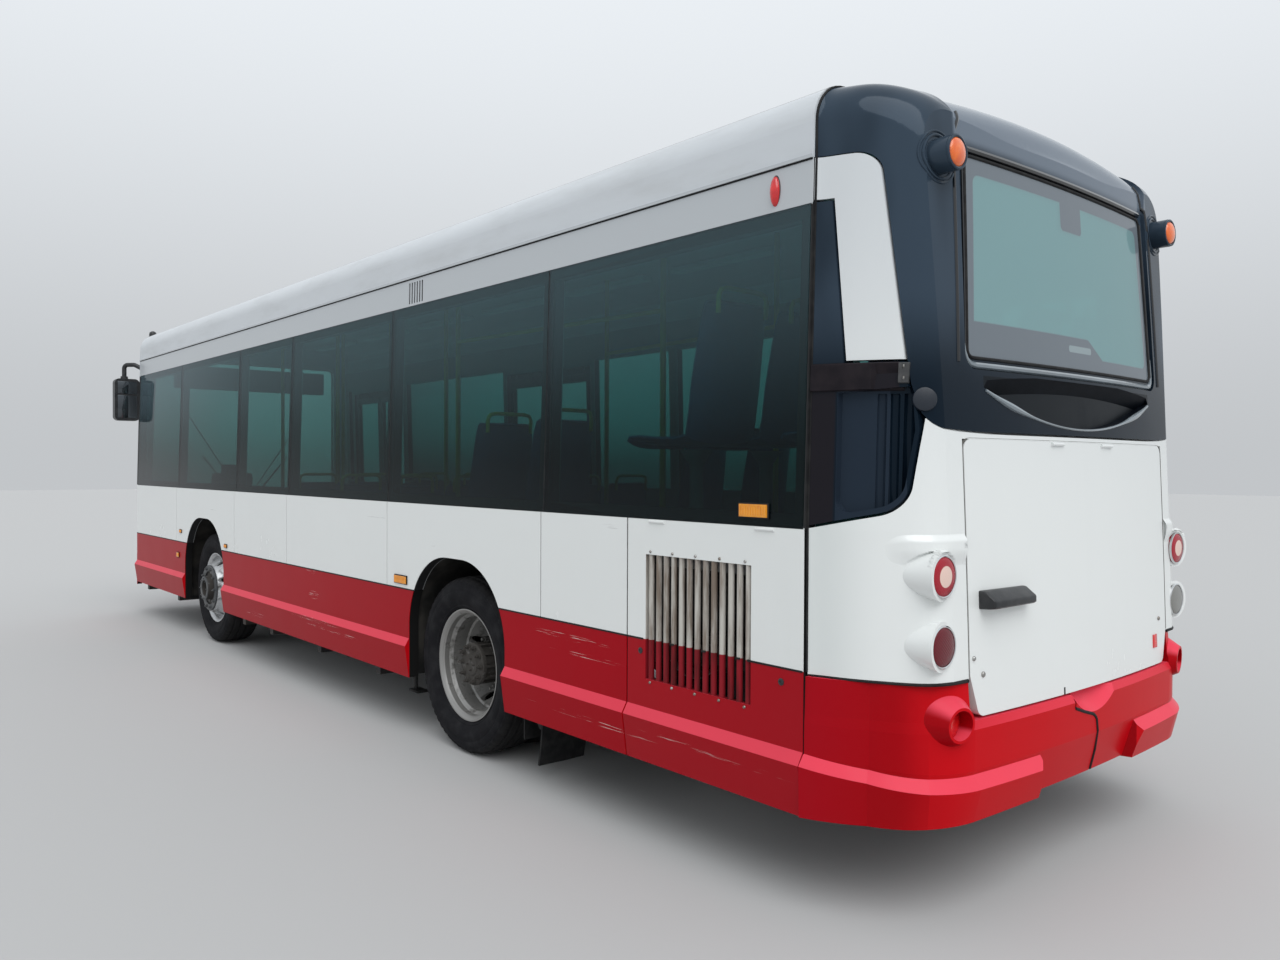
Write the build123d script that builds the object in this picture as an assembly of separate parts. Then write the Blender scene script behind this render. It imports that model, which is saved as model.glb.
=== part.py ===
"""City bus, two axles, about 9.6 m long: a hollow body of real panels, four swing-in door leaves,
steered front wheels, twin rear wheels, a tail lid and an engine flap.

X runs forward, Y to the left, Z up from the road; sizes are in millimetres.
The origin is on the road, under the middle of the bus with its mirrors."""
import os
from math import cos, pi, radians, sin, sqrt

from build123d import *

os.makedirs("parts", exist_ok=True)

# The whole body
WIDTH = 2340
HEIGHT = 2930
SEAM_TO_NOSE = 9080      # from the tail module's seam to the front face
TAIL_REACH = 485         # from the seam back to the bumper's ledge
MIRROR_LEAD = 110        # mirror heads ahead of the front face
WALL = 60                # a whole side wall, trim and all
SHELL = 45               # wall of the moulded tail and front
GAP = 8                  # joint between two body panels
HALF = WIDTH / 2
SEAM = (TAIL_REACH - SEAM_TO_NOSE - MIRROR_LEAD) / 2
SIDE_LENGTH = 8860       # flat side, from the tail seam to the front module
SIDE_END = SEAM + SIDE_LENGTH
NOSE_X = SEAM + SEAM_TO_NOSE

# Heights
SKIRT_LOW = 330
LEDGE_LOW = 510          # skirt ledge, its underside
LEDGE_TOP = 553
LEDGE_OUT = 25
STRIPE = 831             # red below, white above
SILL = 1320              # lower edge of the side glass
DRIP = HEIGHT - 333      # roof joint
GLASS_TOP = DRIP - 157
LEAN_GLASS = 32          # how far the side leans in by the glass's top
LEAN_DRIP = 35
SHOULDER = 150           # radius from side to roof
CROWN = 60               # rise of the roof between its shoulders

# Running gear
REAR_AXLE = 2385         # ahead of the seam
WHEELBASE = 4270
TYRE_R = 470
TYRE_W = 275
RIM_R = 298              # rim flange
RIM_HALF = 108
DISC_FACE = 155          # wheel disc's face from the tyre's middle
FRONT_HUB_Y = 955        # middle of a front tyre
TWIN_Y = 825             # middle between twin tyres
KING_IN = 170            # kingpin inboard of the front tyre's middle
STEER = 36               # degrees each way
RUN = 0.3                # running clearance at shafts, pins and seats
REAR_X = SEAM + REAR_AXLE
FRONT_X = REAR_X + WHEELBASE

# Floor
FLOOR_LOW = 340
FLOOR = 60
MID_LOW = 670            # raised floor over the rear axle
DECK_LOW = 1130          # deck over the engine
LOW_END = 3150           # low floor's rear end, ahead of the seam
MID_END = 1480


def lean(z):
    """How far the side leans in at height z."""
    if z <= SILL:
        return 0
    if z <= GLASS_TOP:
        return LEAN_GLASS * (z - SILL) / (GLASS_TOP - SILL)
    return LEAN_GLASS + (LEAN_DRIP - LEAN_GLASS) * (z - GLASS_TOP) / (DRIP - GLASS_TOP)


def closed(*points):
    return make_face(Polyline(*points, close=True))


def lengthwise(face, x0, x1):
    """An outline across the bus (y, z), run from x0 to x1."""
    return extrude(Plane.YZ.offset(x0) * face, amount=x1 - x0)


def across(face, y0, y1):
    """A side view (x, z), run from y0 to y1."""
    return extrude(Plane.XZ.offset(-y1) * face, amount=y1 - y0)


def upward(face, z0, z1):
    """A plan (x, y), run from z0 to z1."""
    return extrude(Plane.XY.offset(z0) * face, amount=z1 - z0)


def block(x0, x1, y0, y1, z0, z1):
    return upward(closed((x0, y0), (x1, y0), (x1, y1), (x0, y1)), z0, z1)


def rod(start, end, radius):
    """A round bar between two points."""
    start, end = Vector(*start), Vector(*end)
    line = end - start
    return extrude(Plane(origin=start, z_dir=line) * Circle(radius), amount=line.length)


def other_side(solid):
    return mirror(solid, about=Plane.XZ)


def save(node, *pieces):
    """Write one node; where it has several solids they do not touch."""
    solids = [solid for piece in pieces for solid in piece.solids()]
    shape = solids[0] if len(solids) == 1 else Compound(children=solids)
    export_step(shape, f"parts/{node}.step")


def side_strip(z0, z1, out, depth):
    """Strip of the left side between two heights, from out to depth inside the body's face."""
    levels = [z0] + [z for z in (SILL, GLASS_TOP) if z0 < z < z1] + [z1]
    outer = [(HALF - lean(z) - out, z) for z in levels]
    inner = [(HALF - lean(z) - depth, z) for z in reversed(levels)]
    return closed(*outer, *inner)


def body_section(inset, drop, low, wall=0.0):
    """Outline across the bus: sides that lean in, round shoulders and a crowned roof."""
    centre = HALF - LEAN_DRIP - inset - SHOULDER
    spring = HEIGHT - drop - CROWN - SHOULDER
    radius = SHOULDER - wall
    side = centre + radius
    knee = sin(pi / 4) * radius
    crown = HEIGHT - drop - wall
    foot = HALF - inset - wall
    left = [(foot, low)]
    if low < SILL:
        left.append((foot, SILL))
    else:
        left[0] = (foot - lean(low), low)
    left.append((side, spring))
    right = [(-y, z) for y, z in reversed(left)]
    edges = Polyline(*left) + ThreePointArc((side, spring), (centre + knee, spring + knee),
                                            (centre, spring + radius))
    edges += ThreePointArc((centre, spring + radius), (0, crown), (-centre, spring + radius))
    edges += ThreePointArc((-centre, spring + radius), (-centre - knee, spring + knee), right[0])
    edges += Polyline(*right) + Line(right[-1], left[0])
    return make_face(edges)


def end_hull(table, x_from, way, low, anchor, wall=0.0):
    """Closed hull of the tail (way -1) or the front (way 1), lofted through the table's sections.
    Its columns are distance from the side's end, inset, drop of the roof, and slope in degrees."""
    sections = []
    for number, (reach, inset, drop, slope) in enumerate(table):
        shift = wall * reach / table[-1][0]
        x = x_from + way * (reach - shift) - (way * 2 if wall and number == 0 else 0)
        along = Vector(-way * sin(radians(slope)), 0, cos(radians(slope)))
        plane = Plane(origin=(x, 0, anchor), x_dir=(0, 1, 0), z_dir=Vector(0, 1, 0).cross(along))
        outline = Pos(0, -anchor) * body_section(inset, drop, low, wall)
        sections.append(plane * outline)
    return loft(sections)


# Tail module: distance behind the seam, inset, drop of the roof, slope
TAIL = (
    (0, 10, 0, 0.0),
    (90, 53, 4, 0.5),
    (200, 108, 22, 1.2),
    (290, 168, 62, 1.8),
    (345, 232, 120, 2.1),
    (372, 310, 190, 2.2),
    (440, 320, 200, 2.2),
)
TAIL_CROWN = 9300        # radius of the rear face in plan
TAIL_FACE = ((441, 690), (401, 1660), (333, 2750))   # rear face at the middle: reach, height
TAIL_ANCHOR = 1657       # height of the mask's lower edge, where the distances are measured
TAIL_LOW = 640

# Front module, the same columns, ahead of the side's end
NOSE = (
    (0, 0, 0, 0.0),
    (90, 30, 8, 1.5),
    (160, 85, 34, 2.8),
    (205, 165, 84, 3.6),
    (220, 250, 140, 4.0),
)
FRONT_ANCHOR = 1150
FRONT_LOW = 300


def hull_pair(table, x_from, way, low, anchor, wall):
    """Outer hull and the hollow that fits in it, open below and towards the cabin."""
    outer = end_hull(table, x_from, way, low, anchor)
    inner = end_hull(table, x_from, way, low - SHELL, anchor, wall)
    return outer, inner


def rear_face(depth):
    """Barrel that the tail ends on, crowned in plan and leaning forward, a depth inside the face."""
    middle = SEAM + TAIL_CROWN
    curve = [(-TAIL_CROWN - reach + depth, z) for reach, z in TAIL_FACE]
    low, mid, high = [(middle + x, z) for x, z in curve]
    edges = ThreePointArc(low, mid, high)
    edges += Polyline(high, (high[0], 3100), (SEAM + 400, 3100), (SEAM + 400, 200), (low[0], 200), low)
    turn = Axis((middle, 0, 0), (0, 0, 1))
    ring = Plane.XZ * make_face(edges)
    return revolve(ring, axis=turn, revolution_arc=12) + revolve(ring, axis=turn, revolution_arc=-12)


def tail_hull(depth):
    """Closed hull of the tail, a depth inside its outer face."""
    if not depth:
        return end_hull(TAIL, SEAM, -1, TAIL_LOW, TAIL_ANCHOR) & rear_face(0)
    return end_hull(TAIL, SEAM, -1, TAIL_LOW - depth, TAIL_ANCHOR, depth) & rear_face(depth)


tail_outer = tail_hull(0)
tail_inner = tail_hull(SHELL)
tail_shell = tail_outer - tail_inner
front_outer, front_inner = hull_pair(NOSE, SIDE_END, 1, FRONT_LOW, FRONT_ANCHOR, SHELL)
front_shell = front_outer - front_inner

# Wheel arches: half length, height of the top, corner radius
ARCH_SHOULDER = 620      # height where an arch starts to close in
ARCHES = {
    "rear": (REAR_X, 500, 1042, 420),
    "front": (FRONT_X, 535, 1072, 450),
}
HOUSE_WALL = 20
HOUSE_SPARE = {"rear": 12, "front": 70}   # wheel house longer than the arch, room to steer
HOUSE_RISE = 12
HOUSE_IN = 480           # inner face of a wheel house
PLINTH_TOP = 1095        # seats stand on the rear wheel houses
PLINTH_HALF = 550


def arch_outline(x, half, top, radius, grow=0.0, low=0.0):
    """Side view of a wheel arch: upright below, round corners and a short flat top."""
    half, top = half + grow, top + grow
    rise = top - ARCH_SHOULDER
    flat = half - radius
    knee = sin(pi / 4)
    edges = Line((x + half, low), (x + half, ARCH_SHOULDER))
    edges += ThreePointArc((x + half, ARCH_SHOULDER),
                           (x + flat + radius * knee, ARCH_SHOULDER + rise * knee),
                           (x + flat, top))
    edges += Line((x + flat, top), (x - flat, top))
    edges += ThreePointArc((x - flat, top),
                           (x - flat - radius * knee, ARCH_SHOULDER + rise * knee),
                           (x - half, ARCH_SHOULDER))
    edges += Polyline((x - half, ARCH_SHOULDER), (x - half, low), (x + half, low))
    return make_face(edges)


def arch_cut(y0, y1):
    """What both arches take out of a side between two widths."""
    cuts = [across(arch_outline(*sizes), y0, y1) for sizes in ARCHES.values()]
    return cuts[0] + cuts[1]


# Doorways on the right: middle of the doorway ahead of the seam
DOORWAYS = {"front": 8010, "middle": 4770}
DOOR_LOW = 412
DOOR_HEAD = 2352         # underside of the wall above a doorway, over the arms
DOOR_SKIN = 2290         # lower edge of the wall's outer skin, which hides the arms
SKIN_IN = 39             # skin's inner side, inside the body's face
LEAF = 40                # thickness of a leaf
PIVOT_IN = 58            # pivot line inside the body's face
TRAIL = 90               # leaf behind its pivot line's end
STROKE = 490             # pivot line from the post to the leaf's leading guide
LEAD = 10                # leaf past its leading guide
MEETING = 12             # gap between the two leaves
POST_IN = 113            # post from the doorway's edge
DOORWAY_HALF = POST_IN + STROKE + LEAD + MEETING / 2
ARM_LOW = 2296
ARM = 24                 # arm's height
ARM_HALF = 12
LEAF_TOP = 2284          # the arm turns above the leaf
PIVOT_Y = -(HALF - PIVOT_IN)


def doorway_cut(y0, y1, z0, z1):
    cuts = [block(SEAM + x - DOORWAY_HALF, SEAM + x + DOORWAY_HALF, y0, y1, z0, z1)
            for x in DOORWAYS.values()]
    return cuts[0] + cuts[1]


# Side glass: rear and front edge of each pane ahead of the seam
PANE_GAP = 8
LEFT_PANES = ((4, 1560), (1560, 3150), (3150, 4700), (4700, 5800), (5800, 7380), (7380, 8830))
JAMB = 12                # wall between a doorway and the next pane
MIDDLE, FRONT = DOORWAYS["middle"], DOORWAYS["front"]
DOORWAY_OUT = DOORWAY_HALF + JAMB
RIGHT_PANES = ((4, 1560), (1560, 3150), (3150, MIDDLE - DOORWAY_OUT),
               (MIDDLE + DOORWAY_OUT, FRONT - DOORWAY_OUT), (FRONT + DOORWAY_OUT, 8830))
PANE = 6
PILLAR = 45              # half of a window pillar
FRAME = 50               # wall showing behind the glass's upper and lower edge


def side_wall(panes, low_from):
    """Left wall above the stripe; below the glass it starts at low_from ahead of the seam."""
    wall = lengthwise(side_strip(SILL, DRIP, 0, WALL), SEAM, SIDE_END)
    wall += lengthwise(side_strip(STRIPE, SILL, 0, WALL), SEAM + low_from, SIDE_END)
    for x0, x1 in panes:
        wall -= lengthwise(side_strip(SILL, GLASS_TOP, -1, PANE), SEAM + x0, SEAM + x1)
        wall -= lengthwise(side_strip(SILL + FRAME, GLASS_TOP - FRAME, -1, WALL + 1),
                           SEAM + x0 + PILLAR, SEAM + x1 - PILLAR)
    return wall


def glass(panes):
    """The panes that lie in the wall's rebate."""
    return [lengthwise(side_strip(SILL + 2, GLASS_TOP - 2, 0, PANE),
                       SEAM + x0 + PANE_GAP / 2, SEAM + x1 - PANE_GAP / 2) for x0, x1 in panes]


# White panel joints on the side, ahead of the seam
PANEL_JOINTS = (951, 1578, 3160, 4739, 5857, 7452)
JOINT_W = 6
JOINT_DEEP = 5


BAND_VENT = (2780, 2960, 2453, 2572)     # x from, x to, z from, z to
BAND_SLOTS = 6


def band_vent():
    """Slots of the cabin vent in the band above the glass."""
    x0, x1, z0, z1 = BAND_VENT
    pitch = (x1 - x0) / BAND_SLOTS
    slots = None
    for number in range(BAND_SLOTS):
        x = SEAM + x0 + pitch * (number + 0.5)
        slot = block(x - pitch / 4, x + pitch / 4, HALF - WALL, HALF + 1, z0, z1)
        slots = slot if slots is None else slots + slot
    return slots


def joint_grooves(xs, y_face):
    cuts = [block(SEAM + x - JOINT_W / 2, SEAM + x + JOINT_W / 2, y_face - JOINT_DEEP, y_face + 1,
                  STRIPE, SILL) for x in xs]
    return cuts


# Engine flap on the left, between the seam and the first joint
FLAP_END = 951
FLAP = 40
GRILLE = (246, 830, 670, 1177)      # x from, x to, z from, z to
SLATS = 13
FLAP_BARRELS = (180, 760)


def skirt_face(depth):
    return closed((HALF, STRIPE), (HALF, LEDGE_TOP), (HALF + LEDGE_OUT, LEDGE_LOW),
                  (HALF, SKIRT_LOW), (HALF - depth, SKIRT_LOW), (HALF - depth, STRIPE))


def walls():
    left = side_wall(LEFT_PANES, FLAP_END) - arch_cut(HALF - WALL - 1, HALF + 1)
    for groove in joint_grooves(PANEL_JOINTS[1:], HALF):
        left -= groove
    left -= band_vent() & lengthwise(side_strip(GLASS_TOP, DRIP, -1, 20), SEAM, SIDE_END)
    save("side_wall_left", left)
    right = side_wall(RIGHT_PANES, 0) - arch_cut(HALF - WALL - 1, HALF + 1)
    for groove in joint_grooves((951, 1578, 3160, 5857), HALF):
        right -= groove
    inner = WALL + LEAN_DRIP + 1 - HALF
    right = other_side(right) - doorway_cut(-HALF - 1, inner, FLOOR_LOW + FLOOR, DOOR_SKIN)
    right -= doorway_cut(SKIN_IN - HALF, inner, DOOR_SKIN - 1, DOOR_HEAD)
    save("side_wall_right", right)
    panes = glass(LEFT_PANES)
    panes += [other_side(pane) for pane in glass(RIGHT_PANES)]
    save("side_glass", *panes)


def skirts():
    skirt = lengthwise(skirt_face(WALL), SEAM + FLAP_END, SIDE_END)
    skirt -= arch_cut(HALF - WALL - 1, HALF + LEDGE_OUT + 1)
    far = lengthwise(skirt_face(WALL), SEAM, SIDE_END)
    far -= arch_cut(HALF - WALL - 1, HALF + LEDGE_OUT + 1)
    far = other_side(far) - doorway_cut(-HALF - LEDGE_OUT - 1, WALL + 1 - HALF,
                                        FLOOR_LOW + FLOOR, DOOR_HEAD)
    save("skirts", skirt, far)


def roof():
    outer = lengthwise(body_section(0, 0, DRIP), SEAM, SIDE_END)
    inner = lengthwise(body_section(0, 0, DRIP - 1, WALL), SEAM - 1, SIDE_END + 1)
    save("roof", outer - inner)


def stepped(low):
    """Side view of the floor: low aisle, raised floor over the axle and deck over the engine."""
    mid, deck = MID_LOW - FLOOR_LOW, DECK_LOW - FLOOR_LOW
    nose = SIDE_LENGTH + 300
    tail = -TAIL_REACH
    return closed((SEAM + tail, low + deck), (SEAM + MID_END - FLOOR, low + deck),
                  (SEAM + MID_END - FLOOR, low + mid), (SEAM + LOW_END - FLOOR, low + mid),
                  (SEAM + LOW_END - FLOOR, low), (SEAM + nose, low), (SEAM + nose, low + FLOOR),
                  (SEAM + LOW_END, low + FLOOR), (SEAM + LOW_END, low + mid + FLOOR),
                  (SEAM + MID_END, low + mid + FLOOR), (SEAM + MID_END, low + deck + FLOOR),
                  (SEAM + tail, low + deck + FLOOR))


def house_outline(name, grow, low):
    x, half, top, radius = ARCHES[name]
    return arch_outline(x, half + HOUSE_SPARE[name], top + HOUSE_RISE, radius, grow, low)


def house_block(name):
    """Outer form of a left wheel house; the rear one is squared off as a plinth for seats."""
    if name == "rear":
        return block(REAR_X - PLINTH_HALF, REAR_X + PLINTH_HALF, HOUSE_IN, HALF - WALL,
                     FLOOR_LOW, PLINTH_TOP)
    return across(house_outline(name, HOUSE_WALL, FLOOR_LOW), HOUSE_IN, HALF - WALL)


def floor():
    """The floor from wall to wall; in the tail and the nose it meets the moulded shells."""
    edge = HALF - WALL
    full = across(stepped(FLOOR_LOW), -HALF, HALF)
    slab = full & block(SEAM, SIDE_END, -edge, edge, 0, HEIGHT)
    slab += full & tail_inner & block(SEAM - TAIL_REACH, SEAM, -HALF, HALF, 0, HEIGHT)
    slab += full & front_inner & block(SIDE_END, NOSE_X, -HALF, HALF, 0, HEIGHT)
    slab -= block(SEAM - TAIL_REACH, SEAM + HATCH_CLEAR, -HATCH_HALF - GAP, HATCH_HALF + GAP,
                  0, HEIGHT)
    for name in ARCHES:
        hole = house_block(name)
        slab = slab - hole - other_side(hole)
    save("floor", slab)


def wheel_houses():
    houses = []
    for name in ARCHES:
        inner = across(house_outline(name, 0, FLOOR_LOW - 1), HOUSE_IN + HOUSE_WALL, HALF)
        house = house_block(name) - inner
        if name == "rear":
            house -= block(REAR_X - 130, REAR_X + 130, 0, HOUSE_IN + HOUSE_WALL, 0, KICK)
        houses += [house, other_side(house)]
    save("wheel_houses", *houses)


# Chassis
RAIL_Y = 450
RAIL_HALF = 30
RAIL = 80
KICK = 590               # underside of the rails over the rear axle
BRACKET_Y = 500          # bumper brackets
BUMPER_IN = 340          # inner face of the tail bumper behind the seam
TOW_R = 20               # towing eyes, front and rear
TOW_PLATE = 30
TOW_DROP = 40            # front eye below its cross member
JACKS = (3800, 5500)     # jacking pads under the rails, ahead of the seam
PAD = (60, 28, 12)       # half length, half width and thickness of a pad


def chassis():
    """Two kicked rails, the cross members between and outboard of them, and the towing lugs."""
    nose, tail = SIDE_END - 160, SEAM - 250
    low = FLOOR_LOW - RAIL
    side = closed((nose, low), (SEAM + LOW_END - 150, low), (SEAM + LOW_END - 320, KICK),
                  (tail, KICK), (tail, KICK + RAIL), (SEAM + LOW_END - 245, KICK + RAIL),
                  (SEAM + LOW_END - 70, FLOOR_LOW), (nose, FLOOR_LOW))
    rail = across(side, RAIL_Y - RAIL_HALF, RAIL_Y + RAIL_HALF)
    for x in JACKS:
        half, wide, thick = PAD
        rail += block(SEAM + x - half, SEAM + x + half, RAIL_Y - wide, RAIL_Y + wide, low - thick, low)
    save("frame_rails", rail, other_side(rail))
    members = []
    inner, outer = RAIL_Y - RAIL_HALF, RAIL_Y + RAIL_HALF
    for x in (SIDE_END - 200, SEAM + 7600, SEAM + 5800, SEAM + 5200, SEAM + 4300, SEAM + 3400):
        for y0, y1 in ((-inner, inner), (outer, HALF - WALL), (WALL - HALF, -outer)):
            members.append(block(x - 30, x + 30, y0, y1, low, FLOOR_LOW))
    x = SIDE_END - 200
    members[0] += tow_lug(x, low, low - TOW_DROP)
    for x in (SEAM + 1700, SEAM + MID_END - 90):
        members.append(block(x - 30, x + 30, -inner, inner, KICK, KICK + RAIL))
    for x in (tail + 30, SEAM + MID_END - 90):
        for y in (-RAIL_Y, RAIL_Y):
            members.append(block(x - 30, x + 30, y - RAIL_HALF, y + RAIL_HALF, KICK + RAIL, DECK_LOW))
    for y0, y1 in ((-inner, inner), (outer, 780), (-780, -outer)):
        members.append(block(tail, tail + 60, y0, y1, KICK, KICK + RAIL))
    cradles = []
    for x in (SEAM + 120, SEAM + 1000):
        cradle = block(x - 30, x + 30, -outer, outer, 380, 440)
        for y in (-RAIL_Y, RAIL_Y):
            cradle += block(x - 30, x + 30, y - RAIL_HALF, y + RAIL_HALF, 380, KICK)
        cradles.append(cradle)
    cradles[0] += tow_lug(SEAM + 120, 380, SKIRT_LOW - 55)
    save("engine_cradles", *cradles)
    for y in (-BRACKET_Y, BRACKET_Y):
        members.append(block(SEAM - BUMPER_IN, tail, y - 40, y + 40, KICK, KICK + 60))
    save("cross_members", *members)
    engine = block(SEAM - 180, SEAM + 1060, -350, 350, 440, 1040)
    engine = chamfer(engine.edges().filter_by(Axis.X), 60)
    save("engine", engine)


def tow_lug(x, top, eye):
    """A towing eye under a cross member; its pin lies across the bus, clear below the skirts."""
    lug = block(x - 30, x + 30, -TOW_PLATE / 2, TOW_PLATE / 2, eye - 35, top)
    return lug - rod((x, -TOW_PLATE, eye), (x, TOW_PLATE, eye), TOW_R)


FLAP_X = PLINTH_HALF + 8     # mud flap's rear face behind the axle


def mud_flaps():
    flap = block(REAR_X - FLAP_X, REAR_X - PLINTH_HALF, HOUSE_IN + 60, HALF - 80, 190, 520)
    save("mud_flaps", flap, other_side(flap))


HATCHES = (2350, 6600)       # roof hatches: middle ahead of the seam
HATCH_LONG = 740
HATCH_WIDE = 620
HATCH_UP = 22


def roof_hatches():
    lids = []
    skin = body_section(0, 0, DRIP)
    for x in HATCHES:
        x0, x1 = SEAM + x - HATCH_LONG / 2, SEAM + x + HATCH_LONG / 2
        lid = lengthwise(body_section(0, -HATCH_UP, DRIP), x0, x1) - lengthwise(skin, x0 - 1, x1 + 1)
        lid &= block(x0, x1, -HATCH_WIDE / 2, HATCH_WIDE / 2, DRIP, HEIGHT + HATCH_UP + 1)
        lids.append(lid)
    save("roof_hatches", *lids)


# Tail pieces are cut from one shell by side views and end views
def side_region(*points, y0=0.0, y1=HALF + 10, turns=()):
    """Side view of a piece; turns are the corners that are rounded: x, z, radius."""
    outline = closed(*[(SEAM + x, z) for x, z in points])
    return across(rounded(outline, *[(SEAM + x, z, radius) for x, z, radius in turns]), y0, y1)


LAMP_Y = 934
LAMP_R = 66
LAMPS = (1176, 944)      # heights of the upper and lower round lamps
LAMP_FACE = -388         # lamp faces, from the seam
HIGH_LAMP = (855, HEIGHT - 349, -373)
HATCH_HALF = 790
HATCH_TOP = 1631
HATCH_CLEAR = -330       # deck's end behind the lid, from the seam
HINGE_R = 7.5
HINGE_DOWN = 9           # hinge axis below the upper edge of a lid or flap
LID_HINGE = 403          # hinge axis behind the seam
LID_BARRELS = (-200, 200)
HATCH_LOW = 690
WINDOW = (694, 731, HEIGHT - 1017, HEIGHT - 306)     # half width above and below, low, high
SMILE = (664, 1686, 1812, 1862)     # scoop below the window: half width, lowest, tips, upper edge
SMILE_DEEP = 36
SMILE_SLOPE = 1.7        # fall of its back wall below the upper edge for each step inwards
DISH = 14                # the window's panel lies this deep between the mask's corners
DISH_SHAPE = ((762, WINDOW[2] - 42), (744, WINDOW[3] + 36), (776, WINDOW[3] + 180),
              (776, HEIGHT + 50))    # its half width and height, from below the window upwards
DISH_R = 60
POCKET = 24              # recess of the side vent below its bar
FLUTES = (206, 242, 278)   # upright flutes in it, behind the seam
FLUTE_R = 16


def rounded(face, *corners):
    """The outline with the corners nearest to the given points rounded: x, z, radius."""
    for x, z, radius in corners:
        corner = face.vertices().sort_by_distance((x, z, 0))[0]
        face = face.faces()[0].fillet_2d(radius, [corner])
    return face


def tail_side(x):
    """Half width of the tail a distance behind the seam, between the table's sections."""
    for (x0, inset0, *_), (x1, inset1, *_) in zip(TAIL, TAIL[1:]):
        if x0 <= x <= x1:
            return HALF - inset0 - (inset1 - inset0) * (x - x0) / (x1 - x0)
    return HALF - TAIL[-1][1]


def side_vent(outline):
    """Black side piece: a plain bar over a recess with upright flutes."""
    black = tail_shell & outline
    recess = rounded(closed((SEAM - 89, 1785), (SEAM - 89, 1372), (SEAM - 282, 1412),
                            (SEAM - 308, 1657), (SEAM - 302, 1735), (SEAM - 292, 1802)),
                     (SEAM - 89, 1372, 45), (SEAM - 282, 1412, 95))
    recess = across(recess, 800, HALF)
    black -= (tail_outer - tail_hull(POCKET)) & recess
    for x in FLUTES:
        y = tail_side(x) - POCKET - 5
        black -= rod((SEAM - x, y, 1395), (SEAM - x, y - 12, 1780), FLUTE_R) & recess
    return black


def scoop(behind):
    """Air scoop with a smiling lip: its back wall leans in from its upper edge to the lip's shelf."""
    half, lowest, tips, top = SMILE
    edges = ThreePointArc((-half, tips), (0, lowest), (half, tips))
    edges += Polyline((half, tips), (half - 40, top), (-half + 40, top), (-half, tips))
    face = TAIL_FACE[1][0]
    lean = (TAIL_FACE[1][0] - TAIL_FACE[2][0]) / (TAIL_FACE[2][1] - TAIL_FACE[1][1])
    high = face - lean * (top - TAIL_FACE[1][1])
    reach = (top - lowest + 20) / SMILE_SLOPE
    wedge = across(closed((SEAM - face - 60, top + 60), (SEAM - high + 4, top),
                          (SEAM - high + 4 + reach, lowest - 20), (SEAM - face - 60, lowest - 20)),
                   -HALF, HALF)
    skin = tail_outer - tail_hull(SMILE_DEEP)
    return skin & lengthwise(make_face(edges), behind, SEAM) & wedge


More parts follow.
